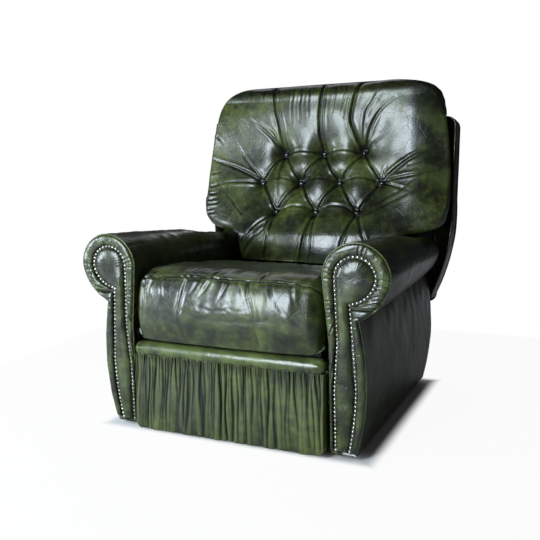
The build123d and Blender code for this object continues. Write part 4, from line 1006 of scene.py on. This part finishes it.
# The steps of the outline from the arms out to the wings' widest place.
wing_levels, wing_halves = outline_levels[2:11], outline_halves[2:11]
wing_shift = -5.0
wing_round = 36.0
side_draw = 19.0
bow_half = 450.0
crown_rise = 51.0
crown_start = 1010.0
crown_middle = 846.0
lean = math.radians(7.5)
frame_foot = (776.0, 350.0)
frame_gap = 4.5
frame_top = 934.5
least_depth = 8.0
front_columns = 340
side_columns = 24
rear_columns = 60
# Buttons: where each row's are sewn across, their height and their depth.
tuft_rows = (
    ((-155.0, 0.0, 155.0), 810.2, 816.1),
    ((-233.2, -75.8, 75.8, 233.2), 704.9, 770.3),
    ((-156.9, 0.0, 156.9), 603.0, 718.1),
)
tuft_lean = math.radians(25)
# The seams between the buttons, and the pads' middles between the seams, as across and up.
seam_top, seam_middle, seam_low = (-155, 0, 155), (-233, -76, 76, 233), (-157, 0, 157)
seam_top_z, seam_middle_z, seam_low_z = 818, 716, 614
pads = ((-76, 762), (76, 762), (0, 705), (-155, 705), (155, 705), (-76, 655), (76, 655))
seam_fold = (7.0, 4.6, 2.2, 1, 1, 1, 26)
fold_slimness, fold_darkness = 0.86, 0.95
# Folds over the front: how deep and wide, how high its ridge, on which side, its strength at the
# start and the end, and the width of the soft basin round it, then its places, across and up.
back_folds = [
    ((8.5, 5.4, 3.4, 1, 1, 0.85, 22), (-155, 820, -173, 921, -193, 996, -203, 1082)),
    ((3.5, 4, 2, 1, 1, 0.4), (-143, 822, -158, 921, -176, 996, -182, 1049)),
    ((5, 6, 3.4), (-157, 826, -219, 889, -331, 972)),
    ((3, 5, 2), (-157, 826, -198, 900, -240, 942)),
    ((8.5, 5.4, 3.4, 1, 1, 0.85, 22), (0, 820, -8, 879, -10, 941, 0, 1082)),
    ((3.5, 4, 2, 1, 1, 0.4), (13, 822, 6, 879, 5, 941, 12, 1040)),
    ((8.5, 5.4, 3.4, -1, 1, 0.85, 22), (155, 820, 123, 894, 111, 936, 119, 1000, 152, 1084)),
    ((5, 5.5, 3.2, -1, 1, 0.1), (160, 822, 183, 899, 218, 960, 270, 1003)),
    ((2.2, 5, 1.2, -1, 0.9), (164, 824, 213, 863, 256, 886)),
    ((2.4, 6, 1.6, -1, 0.6, 0.5), (153, 824, 167, 955, 187, 989, 215, 1038)),
    ((4.2, 5.5, 2.8), (-233, 720, -307, 793, -373, 886)),
    ((5.5, 6, 3.6, 1, 1, 0.25, 20), (-233, 718, -352, 764, -455, 795)),
    ((4, 5.5, 2.6, -1, 1, 0.1), (-238, 714, -355, 711, -440, 700)),
    ((1.8, 5, 1.3, 1, 0.2, 0.7), (-448, 734, -377, 663, -300, 596)),
    ((2.4, 5, 1.8), (-444, 884, -403, 852)),
    ((5.5, 5.5, 3.6, -1, 1, 0.2, 20), (233, 718, 299, 768, 360, 805, 425, 827)),
    ((4.2, 5, 2.8, -1, 1, 0.1), (238, 718, 321, 730, 373, 737, 433, 753)),
    ((2.2, 5, 1.5, -1, 0.5, 0.2), (327, 768, 386, 784, 427, 794)),
    ((2.8, 4.5, 1.6, -1), (234, 722, 248, 775)),
    ((3, 5, 1.8, -1), (238, 712, 308, 690, 352, 675)),
    ((5, 5, 3, -1, 1, 0.4, 20), (-157, 612, -190, 548, -256, 480, -286, 436)),
    ((3.8, 5, 2.6, -1, 1, 0.3), (-166, 600, -224, 564, -266, 516, -303, 471)),
    ((5.5, 5, 3, 1, 1, 0.6, 20), (-157, 608, -165, 548, -174, 486, -190, 430)),
    ((5.5, 6, 3.2, 1, 1, 0.6, 22), (0, 608, -14, 545, -26, 481, -40, 430)),
    ((3, 5, 2, -1, 0.9, 0.3), (5, 606, 8, 545, 4, 481, -4, 430)),
    ((5, 5, 3, -1, 1, 0.5, 20), (157, 608, 137, 549, 121, 503, 106, 430)),
    ((4.4, 5, 2.6, -1, 1, 0.4), (160, 606, 188, 550, 208, 510, 236, 432)),
    ((2.6, 5.5, 1.8, 1, 0.9, 0.8), (-155, 806, -163, 720, -157, 622)),
    ((2.4, 4.5, 2, 1, 0.9, 0.2), (-133, 629, -103, 657, -67, 682)),
    ((1.6, 4, 1.2, 1, 0.8, 0.2), (-128, 622, -109, 646, -89, 668)),
    ((2.6, 4.5, 2, -1, 0.8, 0.8), (-123, 618, -88, 626, -37, 626, -7, 616)),
    ((2.6, 4.5, 2, 1, 0.9, 0.6), (146, 611, 109, 628, 71, 631, 20, 618)),
    ((2.2, 4.5, 1.5, 1, 0.9, 0.9), (-140, 818, -80, 826, -14, 820)),
    ((2.2, 4.5, 1.5, 1, 0.9, 0.9), (14, 820, 80, 828, 142, 818)),
    ((1.6, 4.5, 1.2, 1, 0.7, 0.7), (-220, 716, -150, 726, -90, 716)),
    ((1.8, 4.5, 1.3, 1, 0.7, 0.7), (90, 716, 150, 728, 222, 718)),
    ((1.4, 4.5, 1, 1, 0.7, 0.7), (-60, 716, 0, 724, 62, 716)),
    ((1.6, 6, 1.2, 1, 0.5, 0.2), (225, 639, 302, 683, 380, 740)),
    ((1.6, 6, 1.2, 1, 0.5, 0.2), (190, 600, 290, 650, 380, 690)),
    ((2, 4.5, 1.6, 1, 0.8, 0.3), (318, 548, 347, 560, 392, 566)),
    ((2.4, 5, 1.8, 1, 0.2, 0.8), (-120, 930, -124, 985, -116, 1044)),
    ((2, 5, 1.5, 1, 0.2, 0.7), (-88, 940, -92, 990, -84, 1044)),
    ((2.2, 5, 1.6, 1, 0.2, 0.8), (-52, 950, -56, 1000, -50, 1044)),
    ((1.6, 5, 1.2, 1, 0.2, 0.7), (42, 960, 46, 1000, 52, 1044)),
    ((1.8, 5, 1.3, 1, 0.2, 0.7), (75, 950, 82, 1000, 92, 1044)),
    ((1.6, 5, 1.2, 1, 0.2, 0.7), (-250, 1000, -246, 1025, -240, 1044)),
    ((1.4, 5, 1.2, 1, 0.2, 0.6), (-296, 985, -300, 1015, -296, 1042)),
]
for index, (high, low) in enumerate(zip(seam_top, seam_low)):
    for middle in seam_middle[index : index + 2]:
        back_folds.append((seam_fold, (high, seam_top_z, middle, seam_middle_z)))
        back_folds.append((seam_fold, (middle, seam_middle_z, low, seam_low_z)))
# Short gathers along the left edge: height, reach and depth.
edge_folds = (
    (592, 44, 1.6), (606, 30, 1.2), (627, 58, 2.2), (641, 34, 1.4), (664, 52, 1.9), (693, 38, 1.5), (742, 46, 1.2),
)
edge_fold_start = -456
for z, reach, deep in edge_folds:
    path = (edge_fold_start, z, edge_fold_start + reach / 2, z + 3, edge_fold_start + reach, z + 12)
    back_folds.append(((deep, 5.0, deep), path))


def front_depth(across, z):
    """How deep the cushion's front lies at places across and a height, before its folds."""
    level = min(z, crown_start)
    out = np.abs(across)
    bow = curve(front_levels, front_bows, level) * (out / bow_half) ** 2
    rim = z - curve(wing_halves, wing_levels, np.minimum(out, wing_halves[-1]))
    turned = wing_round * (1 - np.sqrt(1 - np.clip(1 - rim / wing_round, 0, 1) ** 2))
    return curve(front_levels, front_middles, level) + bow + turned * smooth_step(312, 350, out)


def turned_away(across, z):
    """How far the cushion's right side draws back towards its edge."""
    return side_draw * smooth_step(330, 470, across) * smooth_step(580, 670, z)


def back_ring(z, slim=1.0):
    """One level section of the back cushion, front first from left to right."""
    half = curve(outline_levels, outline_halves, z)
    rear = curve(rear_levels, rear_depths, min(z, crown_start))
    if z < frame_top:
        rear = min(rear, frame_foot[0] + (z - frame_foot[1]) * math.tan(lean) - frame_gap)
    deepest = rear - least_depth
    inner = half - (rear - front_depth(half, z)) * 0.25 * slim
    left = min(front_depth(inner, z), deepest)
    right = min(left + turned_away(inner, z), deepest)
    across = -inner + 2 * inner * np.arange(front_columns) / front_columns
    outline = np.vstack([
        places(across, np.minimum(front_depth(across, z) + turned_away(across, z), deepest)),
        arc((inner, right), (half, (right + rear) / 2), (inner, rear), side_columns),
        run((inner, rear), (-inner, rear), rear_columns),
        arc((-inner, rear), (-half, (left + rear) / 2), (-inner, left), side_columns),
    ])
    depth = crown_middle + (outline[:, 1] - crown_middle) * slim
    return places(outline[:, 0] + wing_shift * smooth_step(540, 600, z), depth, z)


def back_field(place, normals):
    """Seams, pleats and folds, which fade round the sides, over soft lumps."""
    across, _, z = place.T
    flat = places(across, z)
    facing = smooth_step(0.05, 0.55, -normals[:, 1])
    front = np.maximum(facing, smooth_step(985, 1015, z) * smooth_step(-0.75, 0.1, -normals[:, 1]))
    lumps = 1.5 * ripples(place, 230, 71) + 0.35 * ripples(place, 90, 72)
    height, folds = creases(flat, back_folds, fold_slimness, fold_darkness) * front
    folds += 0.28 * ripples(place, 130, 74)
    # Painted shade in each button's dimple.
    for tuft in tufts:
        folds -= 1.6 * bell(np.hypot(across - tuft[0], z - tuft[2] - 10), 0, 17) * front
    puff = sum(bell(across, pad_x, 42) * bell(z, pad_z, 38) for pad_x, pad_z in pads)
    out = np.abs(across)
    wings = (10 * bell(out, 388, 72) - 7 * bell(out, 215, 55)) * np.where(across > 0, 1.0, 0.2)
    wings = wings * smooth_step(590, 670, z) * smooth_step(1045, 880, z)
    raised = 9 * smooth_step(60, 400, across) * smooth_step(930, 1055, z)
    edge_gathers = np.cos(z / 5.2 + 1.4 * np.sin(z / 23)) * (1 - facing)
    edge_gathers = edge_gathers * (np.abs(normals[:, 0]) > 0.5) * smooth_step(560, 600, z)
    height = height + (5.5 * puff + wings) * facing + raised + lumps + 0.6 * edge_gathers
    # Painted highlight on the edge gathers' ridges and painted shade in their valleys; the leather is also drawn
    # darker over the top of the crest.
    folds += 0.2 * edge_gathers - 0.55 * smooth_step(1020, 1046, z)
    hugging = (z < frame_top) & (normals[:, 1] > 0.5)
    return np.where(hugging, 0.0, height), folds


tufts = [np.array([across, depth, z]) for row, z, depth in tuft_rows for across in row]
tuft_out = np.array([0.0, -math.cos(tuft_lean), math.sin(tuft_lean)])
levels = (
    np.linspace(428, 520, 32), np.linspace(523, 536, 11), np.linspace(538.5, 600, 25),
    np.linspace(603, frame_top - 0.5, 124), [frame_top + 0.1], np.linspace(frame_top + 2, crown_start, 28),
)
rings = [back_ring(z) for z in np.concatenate(levels)]
for turn in np.radians(np.linspace(4, 84, 19)):
    rings.append(back_ring(crown_start + crown_rise * math.sin(turn), math.cos(turn)))
back = skin("back_cushion_leather", rings)
push(back, back_field)

# Each button's pull: the leather round it is drawn in to its seat, and is level under it.
place = (read(back.data, "co") - (0, facing_front, 0)) * 1000
front_face = np.arange(len(place)) % len(rings[0]) < front_columns
for tuft in tufts:
    out = (place - tuft) @ tuft_out
    beside = np.linalg.norm(place - tuft - np.outer(out, tuft_out), axis=1)
    reached = front_face & (out > -10) & (out < 120)
    lift = np.median(out[reached & (beside < 14)])
    pull = np.exp(-((np.clip(beside - 10.5, 0, None) / 25) ** 1.15)) * reached
    flat_share = np.exp(-((beside / 13) ** 4)) * reached
    place -= np.outer(pull * lift * (1 - flat_share) + flat_share * (out + 0.6), tuft_out)
back.data.vertices.foreach_set("co", (place / 1000 + (0, facing_front, 0)).ravel())
back.data.update()
dress(back, "back", ("back_cushion",))


# Lining: black dust cloth stapled over the front of the back's frame and round its posts' sides,
# which shows under the wings.
lining_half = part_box("back_posts")[1][0] * 1000 + 2.4
lining_return = 46.0
lining_side, lining_face = -1.4, -2.2
lining_bevel = 0.9
lining_rises = np.linspace(-36.0, 250.0, 60)
cloth_thickness = 1.7


def leaned(flat, forward):
    """Places in the back's leaning plane (across, rise) at distances forward, as chair places."""
    across, rise = flat.T
    return places(
        across,
        frame_foot[0] + rise * math.sin(lean) - forward * math.cos(lean),
        frame_foot[1] + rise * math.cos(lean) + forward * math.sin(lean),
    )


lining_path = np.vstack([
    run((-lining_half, lining_return), (-lining_half, lining_side), 14),
    run((lining_bevel - lining_half, lining_face), (lining_half - lining_bevel, lining_face), 90),
    run((lining_half, lining_side), (lining_half, lining_return), 14),
])
loop = np.vstack([lining_path, grown(lining_path, cloth_thickness)[::-1]])
lining = skin("back_lining_cloth", [leaned(places(loop[:, 0], rise), -loop[:, 1]) for rise in lining_rises])
push(lining, lambda place, normals: (0.3 * ripples(place, 90, 75), 0.0))
# The weave is finer than the render shows, so it is drawn at about 1.4 mm.
dust_cloth = clouded(
    "black_cotton_dust_cloth", {"Scale": 700.0, "Detail": 3.0}, ((0.0, "#070807"), (1.0, "#161815")),
    relief=(0.3, 0.0004), Roughness=0.95, Specular_IOR_Level=0.2,
)
lining.data.materials.append(dust_cloth)
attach(lining, "back")


# Outside of the back: a padded outer panel that closes the frame's rear, a leather band round the
# frame's sides, and a plain panel under it across the chair's rear.
shell_half = 474.0
shell_low_half = 414.0
shell_foot_half = 385.0
shell_bottom = -70.0
shell_low = -36.0
shell_wide = 300.0
shell_top = 588.0
shell_corner = 34.0
shell_bend = 0.37
box_depth = 62.0
outer_thickness = 38.0
outer_edge = 20.0
outer_swell = 9.0
band_foot = -55.0
band_steps = 17
band_thickness = 4.6
eighth = math.sqrt(0.5)
# Drag lines over the outer back: how deep, and their places, across and up.
drag_lines = (
    (1.6, (-430, 880, -300, 760, -210, 700)),
    (1.6, (430, 880, 310, 770, 215, 690)),
    (1.5, (-380, 320, -290, 400, -230, 500)),
    (1.5, (380, 320, 280, 410, 240, 480)),
    (1.1, (-120, 915, -110, 800, -90, 720)),
    (1.1, (140, 915, 128, 820, 100, 740)),
)
drag_folds = [((deep, 9.0, 0.8 * deep, 1, 1.0, 0.1), path) for deep, path in drag_lines]


def shell_half_loop(side):
    """One side of the back's outline, from its foot out and up to its top corner."""
    foot = (shell_foot_half, shell_bottom)
    foot_bend = (
        shell_foot_half + (shell_low_half - shell_foot_half) * eighth,
        shell_bottom + (shell_low - shell_bottom) * (1 - eighth),
    )
    low = (shell_low_half, shell_low)
    bend = (
        shell_low_half + (shell_half - shell_low_half) * eighth,
        shell_low + (shell_wide - shell_low) * shell_bend,
    )
    wide = (shell_half, shell_wide)
    shoulder = (shell_half, shell_top - shell_corner)
    corner = (shell_half - shell_corner * (1 - eighth), shell_top - shell_corner * (1 - eighth))
    top = (shell_half - shell_corner, shell_top)
    half = [arc(foot, foot_bend, low, 10), arc(low, bend, wide, 44), run(wide, shoulder, 44)]
    return np.vstack([*half, arc(shoulder, corner, top, 12), [top]]) * (side, 1)


def outer_field(place, normals):
    """Soft drag lines over the outer back."""
    rear = smooth_step(0.55, 0.9, normals[:, 1])
    # Painted shade in the drag lines, with a painted highlight on their banks.
    height, folds = creases(place[:, (0, 2)], drag_folds, valley_patina_and_shade=0.4) * rear
    height += 1.5 * ripples(place, 260, 81) + 0.6 * ripples(place * (1, 1, 0.35), 80, 82)
    return height * smooth_step(0.0, 0.4, normals[:, 1]), folds + 0.3 * ripples(place, 140, 83)


def band_field(place, normals):
    """Faint waves along the band."""
    height = 0.5 * ripples(place, 60, 84) + 0.3 * ripples(place, 22, 85)
    return height * smooth_step(0.2, 0.8, np.abs(normals[:, 0])), 0.25 * ripples(place, 80, 86) - 0.2


def rear_field(place, normals):
    """Faint waves over the rear panel."""
    height = 0.7 * ripples(place, 150, 87) * smooth_step(0.5, 0.9, normals[:, 1])
    return height, 0.3 * ripples(place, 120, 88)


left_half, right_half = shell_half_loop(-1), shell_half_loop(1)
top = run(left_half[-1], right_half[-1], 60)[1:]
foot = run(right_half[0], left_half[0], 60)[1:]
loop = np.vstack([left_half, top, right_half[::-1], foot])
rim = -box_depth - outer_thickness + outer_edge
rings = [leaned(loop, -box_depth - 0.4), leaned(loop, rim)]
for turn in np.linspace(0, quarter_turn, 9)[1:]:
    drawn = grown(loop, -outer_edge * (1 - math.cos(turn)), True)
    rings.append(leaned(drawn, rim - outer_edge * math.sin(turn)))
inside = grown(loop, -outer_edge, True)
spine = places(loop[:, 0] * 0.25, np.clip(loop[:, 1], 120, 420))
for share in np.linspace(0, 0.97, 30)[1:]:
    swell = outer_swell * math.sin(share * quarter_turn) ** 0.7
    rings.append(leaned(inside + (spine - inside) * share, rim - outer_edge - swell))
upholster("outer_back_leather", rings, outer_field, "back", ("outer_back",))

band_path = np.vstack([left_half, top, right_half[::-1]])
band_path = band_path[band_path[:, 1] > band_foot + 1]
forward = np.linspace(-box_depth + 0.3, -0.3, band_steps)
crown = 1.2 * (1 - np.abs(np.linspace(-1, 1, band_steps)) ** 3) - 0.6
depths = np.concatenate([forward, [-0.6, -31.0, -61.4]])
rings = [
    leaned(np.vstack([place + np.outer(crown, away), np.repeat([place - band_thickness * away], 3, 0)]), depths)
    for place, away in zip(band_path, grown(band_path, 1.0) - band_path)
]
upholster("back_side_band_leather", rings, band_field, "back", ("back_side_band",))

low, high = (np.subtract(corner, (0, facing_front, 0)) * 1000 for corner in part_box("rear_panel"))
rear_edge = 3.0
rear_skin = high[1] - 0.2
rings = []
for share in np.concatenate([[0.0], 1 - np.cos(np.linspace(0.15, quarter_turn, 6)), [1.0]]):
    drawn = rear_edge * (1 - math.sqrt(1 - share**2))
    left, right, foot, top = low[0] + drawn, high[0] - drawn, low[2] + drawn, high[2] - drawn
    corners = ((left, foot), (right, foot), (right, top), (left, top))
    outline = np.vstack([run(corners[turn - 1], corners[turn], 60) for turn in (1, 2, 3, 0)])
    rings.append(places(outline[:, 0], rear_skin - rear_edge * (1 - share), outline[:, 1]))
spine = places(np.clip(outline[:, 0], low[0] + 100, high[0] - 100), (low[2] + high[2]) / 2)
for share in np.linspace(0.1, 0.96, 12):
    place = outline + (spine - outline) * share
    rings.append(places(place[:, 0], rear_skin + 1.2 * math.sin(share * 1.5), place[:, 1]))
first = places(rings[0][:, 0], low[1], rings[0][:, 2])
upholster("rear_panel_leather", [first] + rings, rear_field, "base", ("rear_panel",))


# Nails and buttons: domed nickel nails, dulled by tarnish in spots of about 9 mm, and buttons of
# dark lacquered metal, whose film clouds over about 7 mm. They are the frame's own nodes.
def give(material, *nodes):
    """Give frame nodes a material."""
    for node in nodes:
        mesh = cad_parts[node].data
        mesh.materials.clear()
        mesh.materials.append(material)


nickel = clouded(
    "antiqued_nickel_plate", {"Scale": 110.0, "Detail": 3.0, "Roughness": 0.6}, ((0.34, "#66625A"), (0.58, "#A3A198")),
    (0.42, 0.28), (0.15, 0.0004), Metallic=1.0,
)
lacquer = clouded(
    "dark_lacquered_metal", {"Scale": 150.0, "Detail": 3.0, "Roughness": 0.5}, ((0.35, "#23282A"), (0.62, "#4A5253")),
    (0.18, 0.30), Metallic=0.85, Coat_Weight=0.6, Coat_Roughness=0.06,
)
give(nickel, "left_facing_nails", "right_facing_nails", "back_nails")
give(lacquer, "back_buttons")


# Timber: a sawn pine frame, glued and screwed. The grain is drawn coarse, at about 26 mm across
# and eight times as long, because the boards show only in slits.
timber = clouded(
    "sawn_pine", {"Scale": 38.0, "Detail": 5.0, "Roughness": 0.6, "Distortion": 1.2},
    ((0.35, "#A67C4B"), (0.65, "#D2AF7C")), (0.62, 0.80), (0.35, 0.0008), stretch=(1.0, 0.12, 1.0),
)
give(
    timber, "left_arm_frame", "right_arm_frame", "base_cross_rails", "seat_side_rails", "seat_cross_rails",
    "back_posts", "back_rails",
)


# Mechanism: pressed steel links, plates and pins, whose zinc plating clouds over about 18 mm, and
# seat and back springs of darker oil-tempered wire with scale marks of about 11 mm.
zinc = clouded(
    "zinc_plated_steel", {"Scale": 55.0, "Detail": 4.0, "Roughness": 0.65}, ((0.35, "#8C8F93"), (0.65, "#C3C6C8")),
    (0.45, 0.28), Metallic=1.0,
)
wire = clouded(
    "oil_tempered_spring_wire", {"Scale": 90.0, "Detail": 3.0, "Roughness": 0.6},
    ((0.35, "#3E4144"), (0.65, "#6B6F73")), (0.5, 0.35), Metallic=1.0,
)
give(
    zinc, "base_side_plates", "base_plate_screws", "base_pivot_pins", "front_glide_links", "rear_glide_links",
    "seat_side_plates", "seat_pivot_pins", "seat_spacers", "seat_bolts", "lift_links", "lift_cross_tube",
    "lift_link_pins", "rear_lift_links", "long_links", "long_link_pins", "guide_links", "footrest_brackets",
    "footrest_bracket_pins", "footrest_bracket_screws", "back_brackets",
)
give(wire, "seat_springs", "back_springs")


# Floor glides and board: moulded black plastic feet with a matt texture, drawn at 2.5 mm so that
# it shows, and the footrest's board, which is covered in the same dust cloth as the back's frame.
plastic = clouded(
    "moulded_black_plastic", {"Scale": 400.0, "Detail": 2.0, "Roughness": 0.5}, polish=(0.48, 0.62),
    relief=(0.2, 0.0003), Base_Color=linear("#1B1B1C"),
)
give(plastic, "floor_glides")
give(dust_cloth, "footrest_board")
